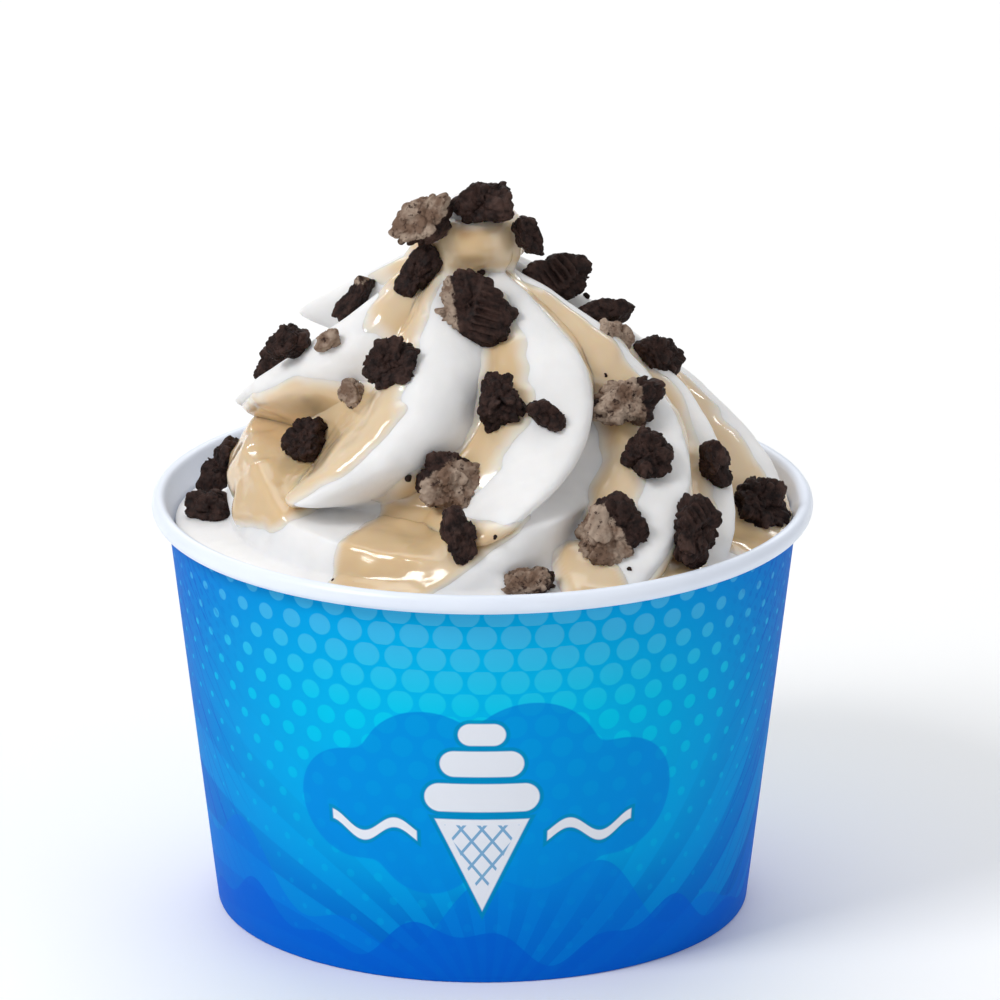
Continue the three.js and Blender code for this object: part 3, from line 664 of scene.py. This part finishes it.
# The cup's print, painted from the ground up on the wall's map "wrap": `x` is how far a spot lies to the
# right of its panel's middle, `sideways` how far to either side of it and `high` how far above the table.
class CupPrint(Shader):
    def __init__(self):
        super().__init__("blue_printed_board")
        split = self.node("ShaderNodeSeparateXYZ")
        self.put(split.inputs[0], self.node("ShaderNodeUVMap", uv_map="wrap").outputs[0])
        self.azimuth = self.times(self.add(split.outputs[0], -0.5), 360)
        self.high = self.times(split.outputs[1], PRINT_HEIGHT)
        self.x = self.times(self.in_cell(self.add(self.azimuth, PANEL / 2), PANEL), ARC)
        self.sideways = self.math("ABSOLUTE", self.x)
        self.colour = (0.0, 0.155, 0.62)

    def paint(self, share, colour):
        self.colour = self.mix(share, self.colour, colour)

    # 1 where a distance from an edge is negative and 0 where it is positive.
    def within(self, distance, soft=PRINT_EDGE):
        return self.step(soft, -soft, distance)

    def distance(self, at_x, at_y, stretch=1.0):
        return self.length(self.add(self.x, -at_x), self.times(self.add(self.high, -at_y), stretch))

    # The ground is bright in the middle and deeper at the sides and the foot, with rays that spread from the
    # foot's middle and bend.
    def ground(self):
        self.paint(self.step(70, 8, self.distance(0, 38, 1.5)), (0.0, 0.47, 0.83))
        self.paint(self.step(20, 2, self.high), (0.0, 0.14, 0.58))
        angle = self.math("ARCTAN2", self.x, self.add(self.high, RAYS_BELOW))
        bent = self.add(angle, self.times(self.distance(0, -RAYS_BELOW), 0.006))
        wave = self.math("SINE", self.times(bent, 26))
        rays = self.times(self.step(-0.12, 0.12, wave), self.step(44, 22, self.high))
        self.paint(self.times(rays, 0.32), (0.0, 0.42, 0.86))

    # Rows of round dots, large in the middle and small at the sides and lower down.
    def large_dots(self):
        row = self.math("FLOOR", self.times(self.high, 1 / DOT_PITCH_Y))
        shift = self.times(self.math("FLOORED_MODULO", row, 2.0), DOT_PITCH_X / 2)
        cell_x = self.in_cell(self.add(self.x, shift), DOT_PITCH_X)
        cell_y = self.in_cell(self.high, DOT_PITCH_Y)
        size = self.add(self.times(self.step(58, 6, self.sideways), 1.45), 0.35)
        size = self.times(size, self.add(self.times(self.step(8, 52, self.high), 0.75), 0.35))
        dot = self.within(self.subtract(self.length(cell_x, cell_y), size))
        show = self.add(self.times(self.step(12, 46, self.high), 0.45), 0.12)
        light = self.mix(self.step(40, 57, self.high), (0.0, 0.66, 0.86), (0.08, 0.50, 0.80))
        self.paint(self.times(dot, show), light)

    # Small dark dots and thin bent strokes towards the sides.
    def side_marks(self):
        cell_x = self.in_cell(self.x, TINY_PITCH)
        cell_y = self.in_cell(self.add(self.high, self.times(self.x, 0.5)), TINY_PITCH)
        dot = self.step(0.52, 0.40, self.length(cell_x, cell_y))
        show = self.times(self.step(32, 50, self.sideways), self.step(36, 50, self.high))
        self.paint(self.times(self.times(dot, show), 0.35), (0.0, 0.11, 0.56))
        for bend, level, pace in ((0.010, 30, 5.5), (0.017, 18, 9.0)):
            rise = self.times(self.times(self.sideways, self.sideways), bend)
            family = self.times(self.add(self.subtract(self.high, rise), -level), 1 / pace)
            line = self.math("ABSOLUTE", self.in_cell(family, 1.0))
            stroke = self.times(self.step(0.045, 0.02, line), self.step(36, 52, self.sideways))
            self.paint(self.times(stroke, 0.45), (0.0, 0.055, 0.56))

    # Hills along the foot: each has a middle height and waves of a size, a pace and a start.
    def hills(self):
        far = (11.5, [(6.0, 0.1085, 0.4), (2.6, 0.31, 1.9)], 0.60, (0.0, 0.165, 0.70))
        close = (6.2, [(2.6, 0.175, 2.6), (1.4, 0.43, 0.2)], 0.75, (0.0, 0.115, 0.64))
        for outline, waves, share, colour in (far, close):
            for size, pace, start in waves:
                wave = self.math("SINE", self.add(self.times(self.x, pace), start))
                outline = self.add(self.times(wave, size), outline)
            self.paint(self.times(self.within(self.subtract(self.high, outline)), share), colour)

    def cloud(self):
        lobes = [self.add(self.distance(at_x, at_y), -radius) for at_x, at_y, radius in CLOUD]
        outline = lobes[0]
        for lobe in lobes[1:]:
            outline = self.math("SMOOTH_MIN", outline, lobe, 4.0)
        self.paint(self.times(self.within(outline, 0.15), 0.72), (0.0, 0.22, 0.72))

    # A plain ice cream cone in white, with a wave on each side of it.
    def emblem(self):
        shapes = []
        for at_y, half, radius in SCOOPS:
            over = self.math("MAXIMUM", self.add(self.sideways, -half), 0.0)
            shapes.append(self.add(self.length(over, self.add(self.high, -at_y)), -radius))
        slant = self.times(self.add(self.high, -11.5), 0.42)
        cone_side = self.subtract(self.times(self.sideways, 0.89), slant)
        cone = self.math("MAXIMUM", cone_side, self.add(self.high, -25.9))
        swell = self.times(self.math("SINE", self.times(self.sideways, 0.62)), 1.3)
        from_wave = self.math("ABSOLUTE", self.subtract(self.add(self.high, -23.5), swell))
        past_ends = self.math("MAXIMUM", self.add(self.sideways, -22.5), self.subtract(9.5, self.sideways))
        shapes += [cone, self.math("MAXIMUM", self.add(from_wave, -0.75), past_ends)]
        outline = shapes[0]
        for shape in shapes[1:]:
            outline = self.math("MINIMUM", outline, shape)
        self.paint(self.times(self.step(0.75, 0.45, outline), 0.8), (0.0, 0.26, 0.50))
        grooves = []
        for lean in (1.0, -1.0):
            stripe = self.in_cell(self.add(self.times(self.x, lean), self.times(self.high, 0.8)), HATCH_PITCH)
            grooves.append(self.step(0.32, 0.22, self.math("ABSOLUTE", stripe)))
        hatch = self.times(self.within(self.add(cone, 0.9), 0.1), self.math("MAXIMUM", *grooves))
        white = self.subtract(self.within(outline), self.times(hatch, 0.75))
        self.paint(white, (0.80, 0.83, 0.90))

    # The board's lap joint shows as a pale line and a slight step.
    def finish(self):
        from_lap = self.math("ABSOLUTE", self.add(self.azimuth, -LAP_AZIMUTH))
        self.paint(self.times(self.step(0.32, 0.18, from_lap), 0.55), (0.55, 0.66, 0.80))
        raised = self.step(LAP_AZIMUTH + 0.6, LAP_AZIMUTH, self.azimuth)
        fibres = self.noise(520, 3, 0.6)
        return self.set(
            Base_Color=self.colour,
            Roughness=self.add(self.times(fibres, 0.10), 0.50),
            Normal=self.bump(self.add(self.times(fibres, 0.25), raised), 0.00016, 0.35),
            Specular_IOR_Level=0.03,
        )


def print_material():
    art = CupPrint()
    art.ground()
    art.large_dots()
    art.side_marks()
    art.hills()
    art.cloud()
    art.emblem()
    return art.finish()


def floor_material():
    s = Shader("pale_floor")
    colour = s.mix(s.noise(6, 2), (0.95, 0.95, 0.95), (0.97, 0.97, 0.97))
    return s.set(Base_Color=colour, Roughness=0.6)


# ---- cup

CUP_STEPS = 180
WALL_ROWS = 14
FOOT_ROUNDING = 0.30
HEM_ROUNDING = 0.25
BASE_ROUNDING = 0.6
AXIS_HOLE = 0.05  # radius at which a turned face ends beside the axis


# A turned surface round the Z axis, with a map "wrap": once round is 1, and so is the print's height.
def lathe(name, profile):
    steps = CUP_STEPS
    profile = np.array(profile)
    angle = np.radians(np.linspace(-180, 180, steps, endpoint=False))
    radius = profile[:, None, 0]
    height = profile[:, None, 1] + 0 * angle
    rings = np.stack([radius * np.sin(angle), -radius * np.cos(angle), height], -1)
    obj = mesh_object(name, rings.reshape(-1, 3), ring_faces(len(profile), steps))
    wrap = obj.data.uv_layers.new(name="wrap")
    count = len(obj.data.loops)
    index = np.zeros(count, int)
    obj.data.loops.foreach_get("vertex_index", index)
    column = (index % steps).reshape(-1, 4)
    u = column / steps
    last = (column.max(1) - column.min(1)) > steps / 2
    u[last] = np.where(u[last] < 0.5, u[last] + 1, u[last])
    v = profile[index // steps, 1].reshape(-1, 4) / PRINT_HEIGHT
    wrap.data.foreach_set("uv", np.stack([u, v], -1).ravel().astype(np.float32))
    return obj


def arc(centre, half, start, end, steps):
    angles = np.radians(np.linspace(start, end, steps))
    return [(centre[0] + half[0] * math.cos(a), centre[1] + half[1] * math.sin(a)) for a in angles]


def make_cup(printed, board):
    wall = [
        (FOOT_RADIUS - FOOT_ROUNDING, 0.0),
        (FOOT_RADIUS - 0.08, 0.10),
        (FOOT_RADIUS + 0.02, 0.35),
    ]
    for row in range(1, WALL_ROWS + 1):
        height = WALL_TOP * row / WALL_ROWS
        wall.append((FOOT_RADIUS + (WALL_TOP_RADIUS - FOOT_RADIUS) * height / WALL_TOP, height))
    ride(lathe("cup_print", wall), printed, "cup_paper", "cup")

    rim_middle = CUP_HEIGHT - RIM_HALF_HEIGHT
    roll = arc((RIM_RADIUS, rim_middle), (RIM_HALF_WIDTH, RIM_HALF_HEIGHT), -125, 180, 22)
    inside_foot = BASE_RECESS + BASE_THICKNESS
    inner = [(inner_wall_radius(h), h) for h in np.linspace(WALL_TOP - 0.6, inside_foot, 6)]
    inner += [(20, inside_foot), (AXIS_HOLE, inside_foot)]
    ride(lathe("cup_rim_and_inside", roll + inner), board, "cup_paper", "cup")

    hem_radius = FOOT_RADIUS - HEM_THICKNESS
    hem = [
        (AXIS_HOLE, BASE_RECESS),
        (hem_radius - BASE_ROUNDING, BASE_RECESS),
        (hem_radius, BASE_RECESS - BASE_ROUNDING),
        (hem_radius, HEM_ROUNDING),
        (hem_radius + HEM_ROUNDING, 0.0),
        (FOOT_RADIUS - FOOT_ROUNDING, 0.0),
    ]
    ride(lathe("cup_foot", hem), board, "cup_paper", "cup")


# ---- ice cream

AZIMUTH_STEPS = 440
HEIGHT_STEPS = 215
FINE_STEPS = 900
GRID_TURN = 2.2
GRID_STEADY = 84

# Soft lumps of the surface: height, size and seed
ICE_LUMPS = [(0.28, 7.0, 1), (0.16, 3.1, 2), (0.05, 1.1, 3)]
LUMPS_MEAN = 0.12
LUMPS_FADE = 3  # millimetres from the wall and from the peak in which the lumps fade out
SAUCE_LUMPS = [(0.24, 4.2, 5), (0.10, 2.0, 6)]
EDGE_LUMPS = (0.45, 2.6, 8)  # how the sauce's edge wavers
SAUCE_LEAST = 0.75  # thickness of the sauce away from its edge, on a flat place
SAUCE_IN_HOLLOW = 0.7  # how much of a hollow's depth the sauce fills
MOST_HOLLOW = 1.6
SAUCE_REACH = 0.9  # how far the sauce's mesh goes on under the ice cream, past its edge
SAUCE_DIP = 0.7
WALL_CLEARANCE = 0.02


# Columns of points turn with the ridges, so that a crest runs along a column.
def grid_turn(height):
    straight = GRID_TURN * (height - MIDDLE)
    steadied = straight - GRID_TURN * soft_ramp(height - GRID_STEADY, TURN_SOFTNESS)
    return steadied - TOP_TURN_BACK * soft_ramp(height - TOP_TURN_FROM, TOP_TURN_SOFTNESS)


# A Gaussian blur of a grid of numbers, by `across` columns, which wrap round, and by `down` rows.
def blurred(field, across, down):
    for axis, reach, wraps in ((1, across, True), (0, down, False)):
        steps = int(3 * reach)
        weights = np.exp(-0.5 * (np.arange(-steps, steps + 1) / reach) ** 2)
        weights = weights / weights.sum()
        pad = [(0, 0), (0, 0)]
        pad[axis] = (steps, steps)
        padded = np.pad(field, pad, mode="wrap" if wraps else "edge")
        total = 0
        for offset, weight in enumerate(weights):
            part = [slice(None), slice(None)]
            part[axis] = slice(offset, offset + field.shape[axis])
            total = total + weight * padded[tuple(part)]
        field = total
    return field


def column_azimuth(column, share):
    return column + grid_turn(FILL_HEIGHT + (PEAK_HEIGHT - FILL_HEIGHT) * share)


# Heights that divide each column evenly along the surface, from wall to peak, as shares of the way up.
def even_shares(column):
    fine = np.linspace(0, 1, FINE_STEPS)[:, None]
    azimuth = column_azimuth(column, fine)
    foot = fill_height(azimuth)
    height = foot + (PEAK_HEIGHT - foot) * fine
    points = place(azimuth, height, ice_cream_radius(azimuth, height))
    lengths = blurred(np.linalg.norm(np.diff(points, axis=0), axis=-1), 5, 2)
    run = np.concatenate([0 * lengths[:1], np.cumsum(lengths, axis=0)])
    run = run / run[-1]
    rows = np.linspace(0, 1, HEIGHT_STEPS)
    return np.stack([np.interp(rows, one_run, fine[:, 0]) for one_run in run.T], axis=1)


def lumps(points, kinds):
    return sum(height * noise(points, size, seed) for height, size, seed in kinds)


def make_ice_cream(ice_material, caramel):
    column = np.linspace(-180, 180, AZIMUTH_STEPS, endpoint=False)[None, :]
    share = even_shares(column)
    azimuth = column_azimuth(column, share)
    foot = fill_height(azimuth)
    height = foot + (PEAK_HEIGHT - foot) * share
    bare = ice_cream_radius(azimuth, height)
    away_from_wall = smoothstep(0, LUMPS_FADE, height - foot)
    away_from_peak = smoothstep(0, LUMPS_FADE, PEAK_HEIGHT - height)
    relief = lumps(place(azimuth, height, bare), ICE_LUMPS) - LUMPS_MEAN
    ice = blurred(bare, 0.8, 0.9) + relief * away_from_wall * away_from_peak
    ice = np.clip(ice, 0, inner_wall_radius(height) - GAP)
    body = place(azimuth, height, ice)
    make_swirl(azimuth, body, ice_material)
    make_sauce(azimuth, height, ice, body, caramel)


# The swirl: the surface's grid, closed by a flat bottom above the cup's base.
def make_swirl(azimuth, body, material):
    floor_height = BASE_RECESS + BASE_THICKNESS + GAP
    low_radius = inner_wall_radius(floor_height) - GAP
    angle = np.radians(azimuth[0])
    low_ring = [low_radius * np.sin(angle), -low_radius * np.cos(angle), 0 * angle + floor_height]
    ends = [[0, 0, floor_height], [LEAN + TOP_LEAN, 0, PEAK_HEIGHT]]
    points = np.concatenate([np.stack(low_ring, -1), body.reshape(-1, 3), ends])
    faces = [tuple(face) for face in ring_faces(HEIGHT_STEPS + 1, AZIMUTH_STEPS)]
    centre = len(points) - 2
    top = len(points) - 1
    last = HEIGHT_STEPS * AZIMUTH_STEPS
    for step in range(AZIMUTH_STEPS):
        after = (step + 1) % AZIMUTH_STEPS
        faces.append((centre, after, step))
        faces.append((last + step, last + after, top))
    ride(mesh_object("ice_cream_swirl", points, faces), material, "ice_cream", "ice_cream")


# The sauce lies on the ice cream, fills its hollows a little and dips under it past its edge.
def make_sauce(azimuth, height, ice, body, material):
    sideways = np.roll(body, -1, axis=1) - np.roll(body, 1, axis=1)
    upwards = np.gradient(body, axis=0)
    normal = np.cross(sideways, upwards)
    for axis in range(3):
        normal[..., axis] = blurred(normal[..., axis], 2.5, 2.0)
    normal = normal / np.maximum(np.linalg.norm(normal, axis=-1), 1e-6)[..., None]
    inside = sauce_depth(azimuth, height) + lumps(body, [EDGE_LUMPS])
    share_in = np.clip(inside / THIN_EDGE, 0, 1)
    thin_edge = 1 - (1 - share_in) ** 2
    hollow = np.clip(blurred(ice, 5, 4) - ice, 0, MOST_HOLLOW)
    thickness = (SAUCE_LEAST + SAUCE_IN_HOLLOW * hollow + lumps(body, SAUCE_LUMPS)) * thin_edge
    thickness = thickness + SAUCE_DIP * np.clip(inside, -1, 0)
    sauce = body + normal * thickness[..., None]
    spread = np.hypot(sauce[..., 0], sauce[..., 1])
    most = inner_wall_radius(sauce[..., 2]) - WALL_CLEARANCE
    squeeze = np.minimum(1, most / np.maximum(spread, 1e-6))
    sauce[..., :2] *= squeeze[..., None]
    quads = ring_faces(HEIGHT_STEPS, AZIMUTH_STEPS)
    covered = (inside > -SAUCE_REACH).ravel()
    quads = quads[covered[quads].all(1)]
    used = np.unique(quads)
    renumber = np.full(covered.size, -1)
    renumber[used] = np.arange(len(used))
    coat = mesh_object("caramel_ribbons", sauce.reshape(-1, 3)[used], renumber[quads])
    # Painted shade, partly real thickness: grooves, hollows and the listed crevices make the sauce darker and
    # browner.
    groove = blurred(1 - ridge_share(azimuth, height), 4, 3)
    groove_tint_and_shade = smoothstep(0.45, 1.0, groove) * smoothstep(0.2, 2.2, inside)
    tint_and_shade = 0.18 + 0.40 * groove_tint_and_shade + 0.20 * hollow
    # Painted shade: a brown patch round each crevice.
    for at_azimuth, at_height, reach in SHADED_CREVICES:
        apart = np.linalg.norm(body - surface_point(at_azimuth, at_height), axis=-1)
        tint_and_shade = tint_and_shade + 0.75 * smoothstep(1.0, 0.1, apart / reach)
    add_attribute(coat, "tint_and_shade", blurred(tint_and_shade, 1.5, 1.5).ravel()[used])
    add_attribute(coat, "thin", 1 - smoothstep(-0.1, 1.5, inside).ravel()[used])
    ride(coat, material, "ice_cream", "ice_cream")


# ---- cookie pieces


def random_from(seed):
    state = seed

    def draw():
        nonlocal state
        state = (state * 1664525 + 1013904223) & 0xFFFFFFFF
        return state / 2**32

    return draw


def cookie_corners(size, seed):
    random = random_from(seed)
    corners = []
    for level, reach in COOKIE_LAYERS:
        for corner in range(COOKIE_CORNERS):
            drift = CORNER_DRIFT * (random() - 0.5)
            angle = 2 * math.pi * (corner + drift) / COOKIE_CORNERS
            across = math.cos(angle)
            up = math.sin(angle)
            outline = (abs(across) ** OUTLINE_POWER + abs(up) ** OUTLINE_POWER) ** (-1 / OUTLINE_POWER)
            radius = reach * outline * (LEAST_REACH + (1 - LEAST_REACH) * random())
            height = level * (LEAST_LEVEL + (1 - LEAST_LEVEL) * random())
            corners.append((radius * across * size[0] / 2, radius * up * size[1] / 2, height * size[2] / 2))
    return np.array(corners)


# The planes round the corners' convex hull: outward normals and distances from the origin.
def hull_planes(corners):
    hull = bmesh.new()
    for corner in corners:
        hull.verts.new(corner)
    bmesh.ops.convex_hull(hull, input=list(hull.verts))
    planes = []
    for face in hull.faces:
        normal = Vector(face.normal)
        distance = normal.dot(face.verts[0].co)
        if distance < 0:
            normal, distance = -normal, -distance
        planes.append((*normal, distance))
    hull.free()
    return np.array(planes)


def unit_ball(level):
    ball = bmesh.new()
    bmesh.ops.create_icosphere(ball, subdivisions=level, radius=1)
    points = np.array([v.co[:] for v in ball.verts])
    faces = [[v.index for v in f.verts] for f in ball.faces]
    ball.free()
    return points / np.linalg.norm(points, axis=1)[:, None], faces


def cookie_frame(look, turn):
    azimuth, above = (math.radians(v) for v in look)
    out = math.cos(above)
    face = Vector((math.sin(azimuth) * out, -math.cos(azimuth) * out, math.sin(above)))
    level = Vector((math.cos(azimuth), math.sin(azimuth), 0))
    up = face.cross(level)
    basis = Matrix((level, up, face)).transposed()
    return np.array(basis @ Matrix.Rotation(math.radians(turn), 3, "Z"))


# How far a broken piece's surface stands out of its hull: big and small crumbs with chinks between them,
# lobes and a few larger bites out of it.
def crag_height(points, seed):
    warp = WARP * np.stack([noise(points, WARP_SIZE, seed + 7 * axis) for axis in range(3)], -1)
    relief = 0
    for index, (spacing, uneven, roundness, warped) in enumerate(CRUMB_KINDS):
        far, tall = crumb_field(points + warped * warp, spacing, seed + index)
        relief = relief + (uneven * (tall - 0.5) - roundness * far**2)
    lobes = 0.55 * noise(points, 3.4, seed + 4)
    rough = 0.16 * noise(points, 0.42, seed + 3)
    bite = np.clip(noise(points, 4.2, seed + 2) - 0.25, 0, 1)
    return relief + lobes + rough - 2.0 * bite


# The wafer's short bars on a piece's broad face, and where the face is calm round them.
def bar_field(points, middle, heading, length, count):
    heading = math.radians(heading)
    x = points[:, 0] - middle[0]
    y = points[:, 1] - middle[1]
    run = np.abs(x * math.cos(heading) + y * math.sin(heading)) - length / 2
    stack = -x * math.sin(heading) + y * math.cos(heading)
    past = np.abs(stack) - count * BAR_PITCH / 2
    front = points[:, 2] > 0
    wave = (0.5 + 0.5 * np.cos(2 * math.pi * stack / BAR_PITCH)) ** BAR_POWER - BAR_MIDDLE
    inside = smoothstep(0, -0.5, run) * smoothstep(0, -0.3, past) * front
    calm = smoothstep(CALM_REACH, 0, run) * smoothstep(CALM_REACH, 0, past) * front
    return wave * inside, calm


# Distances from the middle to a rounded hull, along directions.
def hull_reach(directions, planes):
    facing = directions @ planes[:, :3].T
    reach = np.where(facing > 1e-4, planes[:, 3] / np.maximum(facing, 1e-4), 1e3)
    return (reach**-HULL_SHARPNESS).sum(1) ** (-1 / HULL_SHARPNESS)


# How much cream sticks to each point, from its place round the piece's middle.
def cream_cover(name, offsets):
    if name not in CREAM:
        return np.zeros(len(offsets))
    direction, cover, pale = CREAM[name]
    direction = np.array(direction) / np.linalg.norm(direction)
    along_side = offsets @ direction
    edge = 1 - cover
    share = along_side / np.abs(along_side).max()
    return smoothstep(edge - CREAM_EDGE, edge + CREAM_EDGE, share) * pale


def make_cookies(material):
    balls = {level: unit_ball(level) for level in (BACK_LEVEL, FRONT_LEVEL)}
    for index, (name, at, look, turn, size, out) in enumerate(COOKIES):
        corners = cookie_corners(size, FIRST_SEED + SEED_STEP * index)
        ball, faces = balls[BACK_LEVEL if name.startswith("back") else FRONT_LEVEL]
        directions = ball * np.array(size) / 2
        directions = directions / np.linalg.norm(directions, axis=1)[:, None]
        radius = hull_reach(directions, hull_planes(corners))
        points = directions * radius[:, None]
        crag = crag_height(points, FIRST_CRAG_SEED + index)
        bars = 0 * crag
        if name in EMBOSSED:
            bars, calm = bar_field(points, *EMBOSSED[name])
            crag = crag * (1 - CALM_SHARE * calm)
        relief = (crag - crag.mean() + OUTWARD) * min(size[1], FULL_RELIEF) / FULL_RELIEF
        points = directions * (radius + relief + BAR_HEIGHT * bars)[:, None]
        basis = cookie_frame(look, turn)
        centre = surface_point(*at) + basis[:, 2] * out
        world = points @ basis.T + centre
        # no piece is higher than its solid
        solid_top = (corners @ basis.T + centre)[:, 2].max()
        world[:, 2] -= max(0, world[:, 2].max() - solid_top)
        piece = mesh_object("crumbly_" + name, world, faces)
        add_attribute(piece, "cream", cream_cover(name, world - centre))
        # Painted light and shade: the tops of crumbs and bars are marked paler, the chinks darker.
        add_attribute(piece, "edge", smoothstep(-0.05, 0.45, crag + 0.6 * bars))
        ride(piece, material, "cookie", "cookie_" + name)


RIM_CRUMBS = [(-29.8, 60), (-25.3, 60.1)]  # azimuth and height
CRUMB_SEED = 8
CRUMBS_FROM = 63  # heights between which the pieces have crumbs beside them
CRUMBS_TO = 95


# Small crumbs that fell off the pieces: two at the rim in front and up to two beside each piece.
def make_crumbs(material):
    random = np.random.default_rng(CRUMB_SEED)
    ball, ball_faces = unit_ball(3)
    places = list(RIM_CRUMBS)
    for name, (azimuth, height), look, turn, size, out in COOKIES:
        if height > CRUMBS_TO or height < CRUMBS_FROM:
            continue
        radius = ice_cream_radius(np.array(float(azimuth)), np.array(float(height)))
        degrees = math.degrees(1 / radius)
        for _ in range(random.integers(0, 3)):
            angle = random.uniform(0, 2 * math.pi)
            reach = 0.5 * size[0] * random.uniform(0.75, 1.0)
            aside = reach * math.cos(angle) * degrees
            places.append((azimuth + aside, height + 0.7 * reach * math.sin(angle)))
    points = []
    faces = []
    cream = []
    for index, at in enumerate(places):
        size = random.uniform(0.25, 0.55)
        shape = ball * random.uniform(0.6, 1.2, 3) * (1 + 0.35 * noise(ball, 0.7, 90 + index))[:, None]
        faces.extend([[corner + len(points) * len(ball) for corner in face] for face in ball_faces])
        points.append(shape * size + surface_point(*at))
        cream.append(np.full(len(ball), float(random.uniform() < 0.25)))
    crumbs = mesh_object("cookie_crumbs", np.concatenate(points), faces)
    add_attribute(crumbs, "cream", np.concatenate(cream))
    add_attribute(crumbs, "edge", 0 * np.concatenate(cream))
    ride(crumbs, material, "cookie")


# ---- camera, light, floor


VIEW_ELEVATION = 18.2  # degrees
VIEW_DISTANCE = 1.493  # metres
VIEW_HEIGHT = 0.05
FOCAL = 10.309  # in picture widths
ASIDE = 0.0176  # how far the object's middle lies off the picture's, in picture widths
ABOVE = 0.0651
SENSOR = 36
LIGHTS = [
    # name, place, size, power, target
    ("key", (-0.50, -0.38, 0.66), (0.30, 0.30), 3.7, (0, 0, 0.07)),
    ("fill", (0.75, -0.5, 0.45), (0.6, 0.6), 0.95, (0, 0, 0.07)),
    ("top", (0.0, 0.35, 0.9), (0.7, 0.5), 1.6, (0, 0, 0.07)),
    ("backdrop", (0.0, 1.9, 1.3), (2.4, 0.8), 50.0, (0, 2.4, 0)),
]
WORLD_STRENGTH = 0.47
FLOOR = [(-4000, -3000, 0), (4000, -3000, 0), (4000, 5000, 0), (-4000, 5000, 0)]


def make_camera():
    elevation = math.radians(VIEW_ELEVATION)
    data = bpy.data.cameras.new("view")
    data.sensor_width = SENSOR
    data.lens = SENSOR * FOCAL
    data.clip_end = 20
    camera = link_object("view", data)
    forward = Vector((0, math.cos(elevation), -math.sin(elevation)))
    right = Vector((1, 0, 0))
    up = Vector((0, math.sin(elevation), math.cos(elevation)))
    shift = (right * ASIDE + up * ABOVE) / FOCAL * VIEW_DISTANCE
    eye = Vector((0, 0, VIEW_HEIGHT)) - forward * VIEW_DISTANCE + shift
    camera.matrix_world = Matrix.Translation(eye) @ Matrix((right, up, -forward)).transposed().to_4x4()
    bpy.context.scene.camera = camera


def area_light(name, at, size, power, target):
    data = bpy.data.lights.new(name, "AREA")
    data.energy = power
    data.shape = "RECTANGLE"
    data.size = size[0]
    data.size_y = size[1]
    lamp = link_object(name, data)
    lamp.location = at
    towards = Vector(target) - Vector(at)
    lamp.rotation_euler = towards.to_track_quat("-Z", "Y").to_euler()


def make_studio():
    ground = mesh_object("floor", FLOOR, [(0, 1, 2, 3)])
    ground.data.materials.append(floor_material())
    for light in LIGHTS:
        area_light(*light)
    world = bpy.data.worlds.new("studio")
    world.use_nodes = True
    bpy.context.scene.world = world
    background = world.node_tree.nodes["Background"]
    background.inputs["Color"].default_value = (1, 1, 1, 1)
    background.inputs["Strength"].default_value = WORLD_STRENGTH
    bpy.context.scene.view_settings.view_transform = "Standard"


make_camera()
make_studio()
make_cup(print_material(), board_material())
make_ice_cream(ice_cream_material(), sauce_material())
cookie = cookie_material()
make_cookies(cookie)
make_crumbs(cookie)
